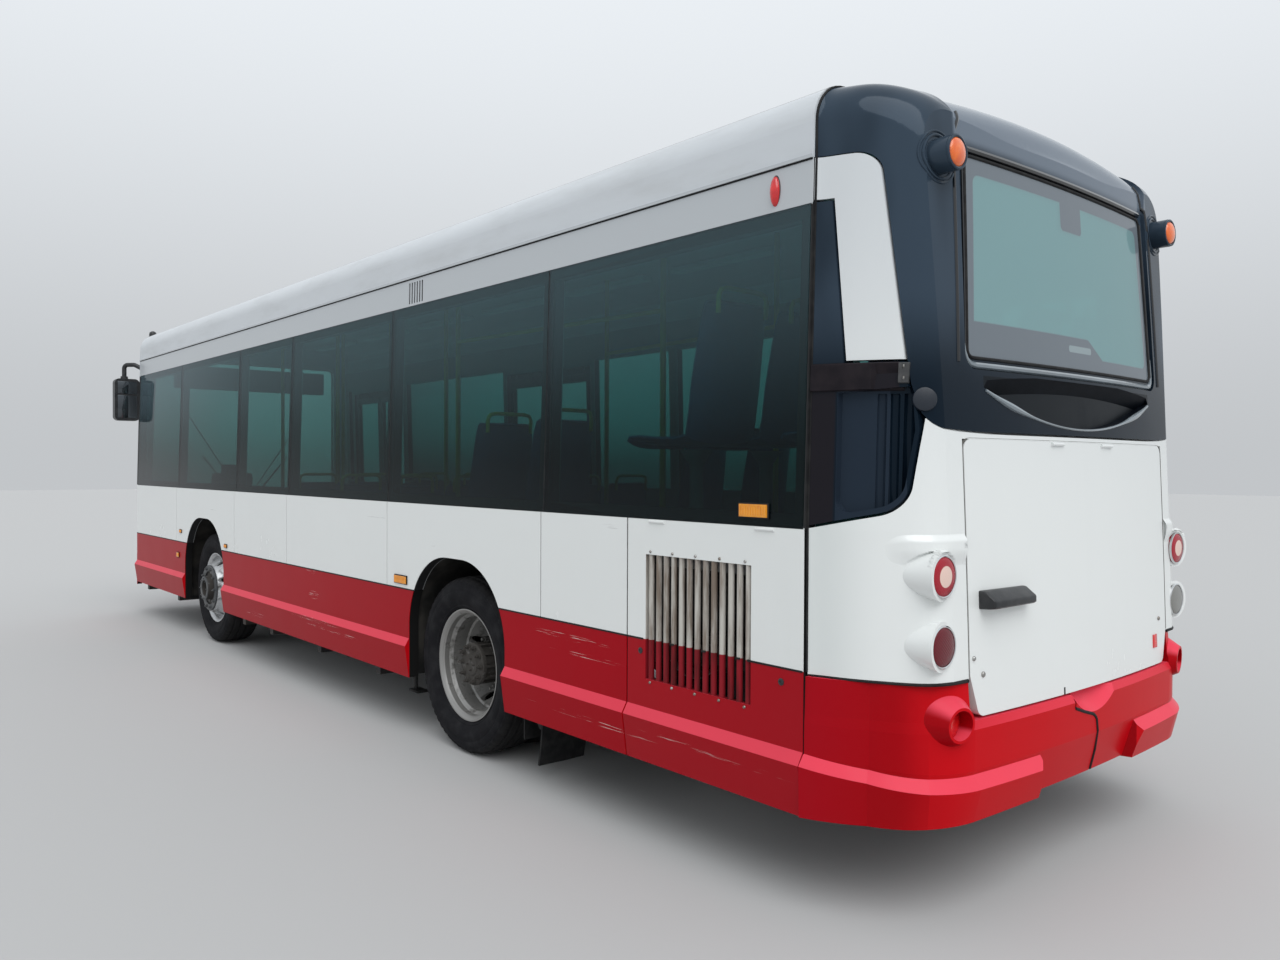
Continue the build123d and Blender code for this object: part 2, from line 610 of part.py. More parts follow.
def tail():
    behind = SEAM - TAIL_REACH - 50
    window = closed((-WINDOW[1], WINDOW[2]), (WINDOW[1], WINDOW[2]), (WINDOW[0], WINDOW[3]),
                    (-WINDOW[0], WINDOW[3]))
    window = fillet(window.vertices(), 30)
    # White and black side pieces, in from the seam: the pillar, the vent and the corner
    pillar = side_region((2, DRIP - 3), (-188, DRIP - 3), (-275, 1893), (-113, 1893),
                         (-62, GLASS_TOP + 10), (2, GLASS_TOP + 10), y0=800,
                         turns=((-188, DRIP - 3, 75),))
    vent = side_region((2, GLASS_TOP + 2), (-54, GLASS_TOP + 2), (-105, 1885), (-275, 1885), (-286, 1806),
                       (-313, 1708), (-318, 1657), (-292, 1396), (2, 1332), y0=800,
                       turns=((-292, 1396, 105),))
    corner = side_region((-6, 1324), (-300, 1388), (-326, 1657), (-329, 1696), (-350, 1670),
                         (-364, 1656), (-380, 1649), (-460, 1649), (-460, 823), (-6, 823),
                         turns=((-300, 1388, 112),))
    lid_hole = block(behind, SEAM - 230, 0, HATCH_HALF + GAP, 0, HATCH_TOP + RUN)
    below = side_region((10, DRIP + 1), (-195, DRIP + 1), (-283, 1889), (-294, 1810), (-321, 1713),
                        (-343, 1680), (-357, 1666), (-374, 1657), (-460, 1657), (-460, 0), (10, 0),
                        y0=0, turns=((-195, DRIP + 1, 80),))
    mask = tail_shell - below - other_side(below)
    mask -= lengthwise(window, behind, SEAM - 150)
    mask -= scoop(behind)
    dish = rounded(closed(*[(-y, z) for y, z in DISH_SHAPE], *DISH_SHAPE[::-1]),
                   (-DISH_SHAPE[0][0], DISH_SHAPE[0][1], DISH_R), (*DISH_SHAPE[0], DISH_R))
    sunk = tail_hull(DISH)
    mask -= (tail_outer - sunk) & lengthwise(dish, behind, SEAM - 90)
    y, z, face = HIGH_LAMP
    for side in (-1, 1):
        housing = rod((SEAM + face, side * y, z), (SEAM - 250, side * y, z), 60) - tail_inner
        mask += housing
        mask -= rod((SEAM + face - 1, side * y, z), (SEAM + face + 14, side * y, z), 52)
    save("rear_mask", mask)
    shell_side = [tail_shell & pillar, (tail_shell & corner) - lid_hole]
    nacelles = []
    for height in LAMPS:
        cone = Plane(origin=(SEAM + LAMP_FACE, LAMP_Y, height), z_dir=(1, 0.16, 0)) * Cone(
            84, 46, 200, align=(Align.CENTER, Align.CENTER, Align.MIN))
        nacelles.append(cone - tail_inner)
    for nacelle in nacelles:
        shell_side[1] += nacelle
    for height in LAMPS:
        shell_side[1] -= rod((SEAM + LAMP_FACE - 30, LAMP_Y, height),
                             (SEAM + LAMP_FACE + 16, LAMP_Y, height), LAMP_R + 3)
    corners = shell_side[1] + other_side(shell_side[1])
    save("rear_side_panels", shell_side[0], other_side(shell_side[0]), corners)
    black = side_vent(vent)
    save("rear_vents", black, other_side(black))
    lenses = [rod((SEAM + LAMP_FACE - 4, side * LAMP_Y, z), (SEAM + LAMP_FACE + 15.7, side * LAMP_Y, z),
                  LAMP_R) for z in LAMPS for side in (1, -1)]
    save("rear_lamps", *lenses)
    pane = (sunk - tail_hull(DISH + 8)) & lengthwise(offset(window, -RUN), behind, SEAM - 250)
    save("rear_window", pane)
    hatch_view = closed((-HATCH_HALF, HATCH_TOP), (HATCH_HALF, HATCH_TOP), (HATCH_HALF, 830),
                        (HATCH_HALF - 45, HATCH_LOW), (-HATCH_HALF + 45, HATCH_LOW),
                        (-HATCH_HALF, 830))
    hatch_view = fillet(hatch_view.vertices(), 36)
    hatch = tail_shell & lengthwise(hatch_view, behind, SEAM - 230)
    for y in LID_BARRELS:
        ends = [(SEAM - LID_HINGE, y + half, HATCH_TOP - HINGE_DOWN) for half in (-45, 45)]
        hatch += rod(*ends, HINGE_R)
    save("rear_hatch", hatch)
    wedge = closed((SEAM - 380, 1117), (SEAM - 425, 1117), (SEAM - 468, 1084), (SEAM - 468, 1050),
                   (SEAM - 380, 1050))
    save("hatch_bar", across(wedge, 367, 733) - tail_outer)


# Rear bumper outlines from the top down: height at the seam, how much lower it lies at the rear,
# y at the seam, then the corner's two points and the rear face at its end and in the middle
BUMPER_END = 790
BUMPER = (
    (815, 0, 1160, 197, 1063, 341, 949, 402, 436),
    (690, 0, 1163, 200, 1069, 350, 955, 412, 444),
    (655, 0, 1165, 202, 1073, 356, 960, 426, 461),
    (553, 40, 1166, 204, 1076, 362, 964, 424, 456),
    (330, -18, 1166, 196, 1062, 340, 948, 380, 408),
)
# The step round the corners: the same columns, from its upper line to the bottom
STEP = (
    (555, 55, 1162, 200, 1072, 358, 960, 421, 453),
    (510, 55, 1194, 216, 1100, 384, 988, 452, 484),
    (335, -8, 1190, 206, 1086, 360, 968, 420, 444),
)
STEP_ENDS = ((380, 372), (455, 388), (484, 440), (620, 560))   # reach and y of the step's inner end
SPLIT = ((700, 150), (634, 152), (590, 6), (566, -24), (441, -61), (300, -78))   # bumper joint: z, y
SPLIT_W = 9
FOG = (880, 684, -430)       # rear fog recess: y, z, reach
FOG_R = 50
DIP = (-10, 838, -640, 300)  # hand dip in the ledge under the lid: y, z, reach and radius of its ball


def bumper_plan(row):
    """One outline, on a plane that drops or rises towards the rear."""
    z, drop, side, x1, y1, x2, y2, back, middle = row
    start, end = (0, side), (-back, BUMPER_END)
    corner = ThreePointArc((-x1, y1), ((-x1 - x2) / 2 - 14, (y1 + y2) / 2 + 10), (-x2, y2))
    one = Spline(start, (-x1 / 2, side - (side - y1) * 0.38), (-x1, y1))
    two = Spline((-x2, y2), (-x2 - (back - x2) * 0.62, (y2 + BUMPER_END) / 2 + 12), end)
    half = one + corner + two
    rear = ThreePointArc(end, (-middle, 0), (end[0], -end[1]))
    far = mirror(half, about=Plane.XZ)
    face = make_face(half + rear + far + Line((0, -side), start))
    slope = drop / middle
    return Plane(origin=(SEAM, 0, z), x_dir=(1, 0, slope), z_dir=(-slope, 0, 1)) * face


def rear_bumper():
    solid = loft([bumper_plan(row) for row in BUMPER], ruled=True)
    step = loft([bumper_plan(row) for row in STEP], ruled=True)
    gap = closed(*[(SEAM - x, y) for x, y in STEP_ENDS], *[(SEAM - x, -y) for x, y in STEP_ENDS[::-1]])
    solid += step - upward(gap, 0, HEIGHT)
    y, z, reach = FOG
    for side in (1, -1):
        bezel = Plane(origin=(SEAM + reach, side * y, z), z_dir=(1, -0.2 * side, 0.04)) * Cone(
            FOG_R + 10, FOG_R + 58, 80, align=(Align.CENTER, Align.CENTER, Align.MIN))
        solid += bezel
    solid -= Pos(SEAM + DIP[2], DIP[0], DIP[1]) * Sphere(DIP[3])
    hollow = upward(closed((SEAM + 1, -HALF + 60), (SEAM - 190, -1005), (SEAM - 270, -930),
                           (SEAM - BUMPER_IN, -800), (SEAM - BUMPER_IN, 800),
                           (SEAM - 270, 930), (SEAM - 190, 1005), (SEAM + 1, HALF - 60)),
                    SKIRT_LOW - 60, 816)
    solid -= hollow
    for side in (1, -1):
        solid -= rod((SEAM + reach - 30, side * y, z), (SEAM + reach + 40, side * y, z), FOG_R)
    solid -= block(SEAM - TAIL_REACH - 60, SEAM, -HATCH_HALF - GAP, HATCH_HALF + GAP,
                   HATCH_LOW - GAP, 900)
    left = [(y + SPLIT_W / 2, z) for z, y in SPLIT]
    right = [(y - SPLIT_W / 2, z) for z, y in reversed(SPLIT)]
    solid -= lengthwise(closed(*left, *right), SEAM - TAIL_REACH - 60, SEAM)
    save("rear_bumper", solid)


HEADLAMPS = (820, 630)    # y of the outer and inner lamp
HEADLAMP_Z = 780
HEADLAMP_R = 85


def front():
    ahead = NOSE_X + 100
    top = HEIGHT - 290
    screen = closed((-1000, 1170), (1000, 1170), (960, top), (-960, top))
    screen = fillet(screen.vertices(), 60)
    panel = front_shell & block(SIDE_END, ahead, -HALF, HALF, 620, HEIGHT)
    panel -= lengthwise(screen, SIDE_END + 50, ahead)
    heads = []
    for y in HEADLAMPS:
        for side in (1, -1):
            ends = [(x, side * y, HEADLAMP_Z) for x in (SIDE_END + 100, ahead)]
            heads.append(rod(*ends, HEADLAMP_R) & front_shell)
            panel -= rod(*ends, HEADLAMP_R + RUN)
    save("headlamps", *heads)
    save("front_panel", panel)
    pane = (front_outer - end_hull(NOSE, SIDE_END, 1, FRONT_LOW - 8, FRONT_ANCHOR, 8)) & lengthwise(
        offset(screen, -RUN), SIDE_END + 50, ahead)
    save("windscreen", pane)
    bumper = front_shell & block(SIDE_END, ahead, -HALF, HALF, FRONT_LOW, 612)
    save("front_bumper", bumper)


# Running gear is turned about the wheel's axis: outlines give radius, then distance outboard
def turned(outline):
    return revolve(closed(*outline), axis=Axis.Y)


def tyre():
    half, low = TYRE_W / 2, RIM_R - 8
    return turned(((low, -96), (RIM_R + 40, -half + 4), (400, -half), (446, -half + 14),
                   (TYRE_R, -half + 34), (TYRE_R, half - 34), (446, half - 14), (400, half),
                   (RIM_R + 40, half - 4), (low, 96), (RIM_R - 20, 90), (RIM_R - 20, -90)))


def rim():
    """Drop-centre rim with a coned disc; the disc's face is outboard."""
    bore = 140
    return turned(((RIM_R, -RIM_HALF), (288, -98), (278, -96), (278, -62), (262, -44), (262, 40),
                   (278, 62), (278, 96), (288, 98), (RIM_R, RIM_HALF), (291, RIM_HALF),
                   (280, RIM_HALF - 10), (272, 88), (270, 70), (255, 52), (205, DISC_FACE),
                   (bore, DISC_FACE), (bore, DISC_FACE - 12), (198, DISC_FACE - 12), (244, 40), (255, 34),
                   (255, -42), (270, -60), (272, -88), (280, 10 - RIM_HALF), (291, -RIM_HALF)))


def hand_holes(solid, middle):
    for number in range(8):
        angle = 2 * pi * (number + 0.5) / 8
        centre = (228 * cos(angle), 0, 228 * sin(angle))
        hole = rod((centre[0], middle - 60, centre[2]), (centre[0], middle + 60, centre[2]), 22)
        solid -= hole
    return solid


SPINDLE = 45
HUB_RIBS = 10            # ribs along a rear hub's drum


def front_wheel():
    hub = turned(((SPINDLE + RUN, -90), (205, -90), (205, 40), (112, 60), (112, 124), (190, 124),
                  (190, DISC_FACE - 12), (142, DISC_FACE - 12), (142, DISC_FACE),
                  (100, DISC_FACE), (100, DISC_FACE + 50), (70, DISC_FACE + 50),
                  (70, DISC_FACE + 10), (0, DISC_FACE + 10), (0, 90), (SPINDLE + RUN, 90)))
    return hand_holes(rim(), DISC_FACE - 55) + hub


def rear_wheel():
    outer = Pos(0, DISC_FACE, 0) * mirror(hand_holes(rim(), DISC_FACE - 55), about=Plane.XZ)
    inner = Pos(0, -DISC_FACE, 0) * hand_holes(rim(), DISC_FACE - 55)
    hub = turned(((SPINDLE + RUN, -260), (205, -260), (205, -60), (190, -50), (190, -12),
                  (142, -12), (142, 12), (124, 12), (124, 52), (96, 70), (96, 206), (114, 208),
                  (114, 226), (106, 232), (62, 233), (56, 238), (0, 238), (0, 100),
                  (SPINDLE + RUN, 100)))
    for number in range(HUB_RIBS):
        angle = 360 * number / HUB_RIBS
        rib = block(90, 111, 60, 212, -7, 7)
        hub += rib.rotate(Axis.Y, angle)
    return outer + inner + hub


def wheels():
    front_left = Pos(FRONT_X, FRONT_HUB_Y, TYRE_R) * front_wheel()
    front_tyre = Pos(FRONT_X, FRONT_HUB_Y, TYRE_R) * tyre()
    save("front_wheel_left", front_left)
    save("front_wheel_right", other_side(front_left))
    save("front_tyre_left", front_tyre)
    save("front_tyre_right", other_side(front_tyre))
    rear_left = Pos(REAR_X, TWIN_Y, TYRE_R) * rear_wheel()
    twins = [Pos(REAR_X, TWIN_Y + way * DISC_FACE, TYRE_R) * tyre() for way in (1, -1)]
    save("rear_wheel_left", rear_left)
    save("rear_wheel_right", other_side(rear_left))
    save("rear_tyres_left", *twins)
    save("rear_tyres_right", *[other_side(twin) for twin in twins])


KING_Y = FRONT_HUB_Y - KING_IN
KING_R = 22
EYE = 80                 # height of the axle beam's eye
BEAM_LOW = 165


def knuckle():
    """Left steering knuckle: two ears round the beam's eye, a web, and the spindle."""
    z0, z1 = TYRE_R - EYE / 2, TYRE_R + EYE / 2
    pin = rod((FRONT_X, KING_Y, z0 - 55), (FRONT_X, KING_Y, z1 + 55), KING_R)
    body = pin
    for low in (z0 - 45, z1 + RUN):
        body += rod((FRONT_X, KING_Y, low), (FRONT_X, KING_Y, low + 45 - RUN), 46)
        body += block(FRONT_X - 40, FRONT_X + 40, KING_Y, KING_Y + 74, low, low + 45 - RUN)
    body += block(FRONT_X - 55, FRONT_X + 55, KING_Y + 54, KING_Y + 74, z0 - 60, z1 + 60)
    body += rod((FRONT_X, KING_Y + 60, TYRE_R), (FRONT_X, FRONT_HUB_Y + 80, TYRE_R), SPINDLE)
    body += block(FRONT_X - 210, FRONT_X - 20, KING_Y - 20, KING_Y + 20, z0 - 45, z0 - 20)
    return body


def axles():
    reach = KING_Y
    z0, z1 = TYRE_R - EYE / 2, TYRE_R + EYE / 2
    neck = reach - 70
    view = closed((-reach, z1), (-reach, z0), (-neck, z0), (-620, BEAM_LOW + 60), (-540, BEAM_LOW),
                  (540, BEAM_LOW), (620, BEAM_LOW + 60), (neck, z0), (reach, z0), (reach, z1),
                  (reach - 90, z1), (560, BEAM_LOW + 85), (-560, BEAM_LOW + 85), (-reach + 90, z1))
    beam = lengthwise(view, FRONT_X - 45, FRONT_X + 45)
    for side in (1, -1):
        beam += rod((FRONT_X, side * reach, z0), (FRONT_X, side * reach, z1), 48)
        beam -= rod((FRONT_X, side * reach, z0 - 1), (FRONT_X, side * reach, z1 + 1), KING_R + RUN)
        beam += block(FRONT_X - 45, FRONT_X + 45, side * RAIL_Y - 40, side * RAIL_Y + 40,
                      BEAM_LOW + 60, FLOOR_LOW - RAIL)
    save("front_axle", beam)
    left = knuckle()
    save("knuckle_left", left)
    save("knuckle_right", other_side(left))
    tube = rod((REAR_X, -TWIN_Y - 90, TYRE_R), (REAR_X, TWIN_Y + 90, TYRE_R), SPINDLE)
    tube += rod((REAR_X, -TWIN_Y + 270, TYRE_R), (REAR_X, TWIN_Y - 270, TYRE_R), 72)
    tube += Pos(REAR_X, 0, TYRE_R) * Sphere(170)
    tube += rod((REAR_X - 330, 0, TYRE_R), (REAR_X, 0, TYRE_R), 60)
    for side in (1, -1):
        tube += block(REAR_X - 60, REAR_X + 60, side * RAIL_Y - 40, side * RAIL_Y + 40, TYRE_R, KICK)
    save("rear_axle", tube)


def engine_flap():
    x0, x1 = SEAM + 2, SEAM + FLAP_END - GAP
    top = SILL - RUN
    face = closed((HALF, top), (HALF, LEDGE_TOP), (HALF + LEDGE_OUT, LEDGE_LOW),
                  (HALF, SKIRT_LOW), (HALF - FLAP, SKIRT_LOW), (HALF - FLAP, top))
    flap = lengthwise(face, x0, x1)
    gx0, gx1, gz0, gz1 = GRILLE
    opening = across(closed((SEAM + gx0, gz0), (SEAM + gx1, gz0), (SEAM + gx1, gz1),
                            (SEAM + gx0, gz1)), HALF - FLAP - 1, HALF + 1)
    flap -= opening
    pitch = (gx1 - gx0) / SLATS
    for number in range(SLATS):
        x = SEAM + gx0 + pitch * (number + 0.5)
        slat = rod((x, HALF - 14, gz0 - 5), (x, HALF - 14, gz1 + 5), 12)
        flap += slat
    for x in FLAP_BARRELS:
        ends = [(SEAM + x + half, HALF, top + RUN - HINGE_DOWN) for half in (-45, 45)]
        flap += rod(*ends, HINGE_R)
    save("engine_flap", flap)


LEAF_RIM = 55            # frame round a leaf's window
LEAF_FOOT = 230          # frame below it


def doors():
    for door, middle in DOORWAYS.items():
        for leaf, way in (("rear", 1), ("front", -1)):
            # way 1: the post is at the doorway's rear edge and the leaf runs forward from it
            post = SEAM + middle - way * (DOORWAY_HALF - POST_IN)
            back, lead = post - way * TRAIL, post + way * (STROKE + LEAD)
            x0, x1 = min(back, lead), max(back, lead)
            low, high = DOOR_LOW + LEAF_FOOT, LEAF_TOP - LEAF_RIM
            body = other_side(lengthwise(side_strip(DOOR_LOW, LEAF_TOP, 0, LEAF), x0, x1))
            body -= other_side(lengthwise(side_strip(low, high, -1, LEAF + 1),
                                          x0 + LEAF_RIM, x1 - LEAF_RIM))
            pane = other_side(lengthwise(side_strip(low + RUN, high - RUN, 10, 16),
                                         x0 + LEAF_RIM + RUN, x1 - LEAF_RIM - RUN))
            save(f"door_{door}_{leaf}_leaf", body, pane)
            half_way = post + way * STROKE / 2
            arm_top = ARM_LOW + ARM
            arm = block(min(post, half_way), max(post, half_way), PIVOT_Y - ARM_HALF,
                        PIVOT_Y + ARM_HALF, ARM_LOW, arm_top)
            for x in (post, half_way):
                arm += rod((x, PIVOT_Y, ARM_LOW), (x, PIVOT_Y, arm_top), ARM_HALF + 1)
            arm += rod((post, PIVOT_Y, ARM_LOW), (post, PIVOT_Y, DOOR_HEAD - RUN), 9)
            arm += rod((half_way, PIVOT_Y, LEAF_TOP + RUN), (half_way, PIVOT_Y, arm_top), 9)
            save(f"door_{door}_{leaf}_arm", arm)


def lamps():
    spots = []
    y, z, face = HIGH_LAMP
    for side in (1, -1):
        spots.append(rod((SEAM + face - 4, side * y, z), (SEAM + face + 13.7, side * y, z), 50))
    # Amber side markers: x from, x to, z from, z to, ahead of the seam
    for x0, x1, z0, z1 in ((166, 301, 1353, 1399), (2908, 3051, 859, 901), (6030, 6085, 860, 884),
                           (7284, 7339, 915, 939), (7361, 7421, 688, 728)):
        foot = HALF - lean(z0) + RUN
        for side in (1, -1):
            mark = block(SEAM + x0, SEAM + x1, foot, foot + 10, z0, z1)
            if side == -1 and x0 > 7300:
                continue
            spots.append(mark if side == 1 else other_side(mark))
    save("amber_lamps", *spots)


MIRROR = (1210, 118, HEIGHT - 725, 218)     # middle y, half width, middle z, half height
MIRROR_DEEP = 120


def mirrors():
    y, half, z, tall = MIRROR
    front_x = NOSE_X + MIRROR_LEAD
    head = block(front_x - MIRROR_DEEP, front_x, y - half, y + half, z - tall, z + tall)
    head = fillet(head.edges().filter_by(Axis.X), 45)
    head = fillet(head.faces().sort_by(Axis.X)[-1].edges(), 30)
    root, top = HEIGHT - 430, HEIGHT - 360
    path = FilletPolyline((SIDE_END + 90, 1040, root), (SIDE_END + 180, 1150, top),
                          (front_x - 60, 1225, top), (front_x - 60, 1225, z + tall - 20), radius=40)
    arm = sweep(Plane(origin=path @ 0, z_dir=path % 0) * Circle(22), path=path)
    mirror_left = head + arm - front_outer
    biggest = mirror_left.solids().sort_by(SortBy.VOLUME)[-1]
    save("mirrors", biggest, other_side(biggest))


# Seats: x of the seat's middle ahead of the seam, y, floor level, and 1 for a tall pedestal
DECK = DECK_LOW + FLOOR
MID = MID_LOW + FLOOR
LOW = FLOOR_LOW + FLOOR
SEATS = [(120, y, DECK, 1) for y in (-700, -250, 250, 700)]
SEATS += [(880, y, DECK, 1) for y in (-840, -400, 400, 840)]
SEATS += [(x, y, PLINTH_TOP, 0) for x in (REAR_AXLE - 240, REAR_AXLE + 320) for y in (-790, 790)]
SEATS += [(x, y, LOW, 1) for x in (3750, 4500, 5250) for y in (400, 840)]
SEATS += [(3600, -400, LOW, 1), (3600, -840, LOW, 1), (5750, -400, LOW, 1), (5750, -840, LOW, 1)]
SEAT_W = 400
SEAT_RISE = 400          # underside of a seat above its floor
PLINTH_RISE = 60


def seat(x, y, base, tall):
    """One passenger seat: padded shell on a pedestal, a low one on the plinths."""
    view = closed((-210, 0), (215, 15), (225, 55), (-130, 50), (-235, 610), (-285, 605),
                  (-215, 30))
    rise = SEAT_RISE if tall else PLINTH_RISE
    shell = Pos(0, 0, rise) * across(view, -SEAT_W / 2, SEAT_W / 2)
    post = block(-60, 60, -60, 60, 0, rise + 10)
    return Pos(SEAM + x, y, base) * (shell + post)


def cabin():
    save("seats", *[seat(*row) for row in SEATS])
    driver = across(closed((-230, 430), (240, 440), (250, 520), (-120, 520), (-240, 1150),
                           (-330, 1140), (-260, 470)), -240, 240) + block(-140, 140, -160, 160, 0, 440)
    save("driver_seat", Pos(SEAM + 8010, 560, LOW) * driver)
    desk = across(closed((SEAM + 8580, LOW), (SEAM + 8780, LOW), (SEAM + 8900, 1080),
                         (SEAM + 8720, 1150), (SEAM + 8560, 1090), (SEAM + 8640, 980)), 60, 900)
    desk += block(SEAM + 8700, SEAM + 8880, -900, 60, 760, 980)
    desk += block(SEAM + 8700, SEAM + 8760, -60, 60, LOW, 800)
    wheel = Plane(origin=(SEAM + 8440, 560, 1160), z_dir=(-0.55, 0, 0.83)) * Torus(215, 14)
    hub = rod((SEAM + 8440, 560, 1160), (SEAM + 8680, 560, 800), 26)
    spoke = rod((SEAM + 8440, 560 - 214, 1160), (SEAM + 8440, 560 + 214, 1160), 11)
    save("dashboard", desk + hub + wheel + spoke)


CROWN_R = ((HALF - LEAN_DRIP - SHOULDER) ** 2 + CROWN ** 2) / (2 * CROWN)


def ceiling(y):
    """Height of the ceiling at a distance y from the middle."""
    return HEIGHT - WALL - CROWN_R + sqrt(CROWN_R ** 2 - y * y)


RAIL_Z = 2330
POLE_R = 16
RAIL_R = 13
POLES = ((3400, 560, LOW), (4110, 250, LOW), (6000, 250, LOW), (6000, -250, LOW), (3270, -560, LOW),
         (7150, 300, LOW), (7150, -300, LOW), (1560, 430, MID), (1560, -430, MID))


def handrails():
    poles = [rod((SEAM + x, y, base), (SEAM + x, y, ceiling(abs(y) + POLE_R) - RUN), POLE_R)
             for x, y, base in POLES]
    save("hand_poles", *poles)
    # Each high rail runs between two of the poles
    rails = []
    for (x0, y0, _), (x1, y1, _) in ((POLES[7], POLES[0]), (POLES[8], POLES[4])):
        rail = rod((SEAM + x0, y0, RAIL_Z), (SEAM + x1, y1, RAIL_Z), RAIL_R)
        for pole in poles:
            rail -= pole
        rails.append(rail)
    save("ceiling_rails", *rails)


walls()
skirts()
roof()
floor()
wheel_houses()
chassis()
mud_flaps()
roof_hatches()
tail()
rear_bumper()
front()
wheels()
axles()
engine_flap()
doors()
lamps()
mirrors()
cabin()
handrails()
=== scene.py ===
# %% [markdown]
# # A city bus, dressed in Blender
#
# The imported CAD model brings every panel, wheel, door and joint at its real place and size.
# This notebook gives those panels their paint, glass and dirt, and adds what is too small or too
# soft for the CAD: tyre treads, wheel nuts, seals, lamp bowls, seats with pads, wipers and rubber.
# Everything is in metres: X forward, Y to the left, Z up from the road.

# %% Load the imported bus
import math

import bmesh
import bpy
from mathutils import Matrix, Vector


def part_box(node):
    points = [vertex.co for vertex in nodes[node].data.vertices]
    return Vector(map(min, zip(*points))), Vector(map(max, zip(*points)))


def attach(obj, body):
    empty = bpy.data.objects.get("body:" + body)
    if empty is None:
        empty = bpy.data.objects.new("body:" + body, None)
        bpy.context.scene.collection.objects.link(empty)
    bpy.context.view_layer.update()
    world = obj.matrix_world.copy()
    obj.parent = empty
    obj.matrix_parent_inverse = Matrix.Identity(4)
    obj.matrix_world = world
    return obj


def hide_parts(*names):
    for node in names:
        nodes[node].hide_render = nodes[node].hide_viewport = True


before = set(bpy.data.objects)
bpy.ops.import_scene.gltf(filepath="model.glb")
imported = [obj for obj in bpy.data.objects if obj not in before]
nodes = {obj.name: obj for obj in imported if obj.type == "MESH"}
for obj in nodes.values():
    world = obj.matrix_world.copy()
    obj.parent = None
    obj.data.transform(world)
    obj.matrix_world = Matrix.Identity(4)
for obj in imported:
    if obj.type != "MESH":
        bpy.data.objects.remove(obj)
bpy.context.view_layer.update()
BODY = "bus_body"

# %% [markdown]
# ## Landmarks
#
# Every piece is placed from the CAD's own boxes, so the notebook follows the model if a panel
# changes. The seam is where the moulded tail meets the flat side. Above the sill the side leans in by
# the glass's lean at the top of the panes, and by a little more at the roof joint. The round lamps, the
# slatted grille and the scoop are places that paint and trim share, so they are named here as well.

# %% Landmarks from the CAD boxes
wall_low, wall_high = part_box("side_wall_left")
SEAM = wall_low.x
SIDE_END = wall_high.x
HALF = wall_high.y
STRIPE = wall_low.z
roof_low, roof_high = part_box("roof")
DRIP = roof_low.z
CROWN = roof_high.z
glass_low, glass_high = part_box("side_glass")
SILL = glass_low.z
GLASS_TOP = glass_high.z

GLASS_LEAN, DRIP_LEAN = 0.032, 0.035
SIDES = (("left", 1), ("right", -1))
LAMP_Y, LAMP_R = 0.934, 0.066
LAMP_HEIGHTS = (1.176, 0.944)
GRILLE_X, GRILLE_LOW, GRILLE_HIGH = (0.246, 0.830), 0.670, 1.177
SMILE_HALF, SMILE_LOW, SMILE_TIP, SCOOP_TOP = 0.664, 1.686, 1.812, 1.862
SMILE_R = (SMILE_HALF ** 2 + (SMILE_TIP - SMILE_LOW) ** 2) / 2 / (SMILE_TIP - SMILE_LOW)


def middle(node):
    low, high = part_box(node)
    return (low + high) / 2


REAR_X = middle("rear_tyres_left").x
FRONT_X = middle("front_tyre_left").x
TYRE_R = middle("front_tyre_left").z
FRONT_HUB_Y = middle("front_tyre_left").y
TWIN_Y = middle("rear_tyres_left").y
print("seam", round(SEAM, 3), "axles", round(REAR_X, 3), round(FRONT_X, 3))

# %% [markdown]
# ## The camera
#
# The photograph was taken at chest height behind the rear left corner, with a wide lens. The same
# standpoint, heading and lens are given here as plain numbers, measured from the seam.

# %% Camera
EYE = Vector((SEAM - 2.191, 3.772, 1.533))
YAW, PITCH, ROLL = (math.radians(angle) for angle in (40.382, -0.792, 0.246))
FOCAL_PIXELS = 981.729
FRAME_WIDE = 1280
ahead = Vector((math.cos(YAW) * math.cos(PITCH), -math.sin(YAW) * math.cos(PITCH), math.sin(PITCH)))
level = Vector((-math.sin(YAW), -math.cos(YAW), 0))
above = level.cross(ahead)
right = level * math.cos(ROLL) + above * math.sin(ROLL)
upright = above * math.cos(ROLL) - level * math.sin(ROLL)
lens = bpy.data.cameras.new("chest_height")
lens.sensor_width = 36
lens.lens = lens.sensor_width * FOCAL_PIXELS / FRAME_WIDE
lens.clip_end = 200
camera = bpy.data.objects.new("chest_height", lens)
turn = Matrix((right, upright, -ahead)).transposed().to_4x4()
camera.matrix_world = Matrix.Translation(EYE) @ turn
bpy.context.scene.collection.objects.link(camera)
bpy.context.scene.camera = camera
print("lens", round(lens.lens, 2), "mm")

# %% [markdown]
# ## A small language for node trees
#
# Shader and geometry trees are easier to read as arithmetic. A Flow is one output socket, and an
# expression on Flows adds the Math nodes. A Graph adds every other node through one method.

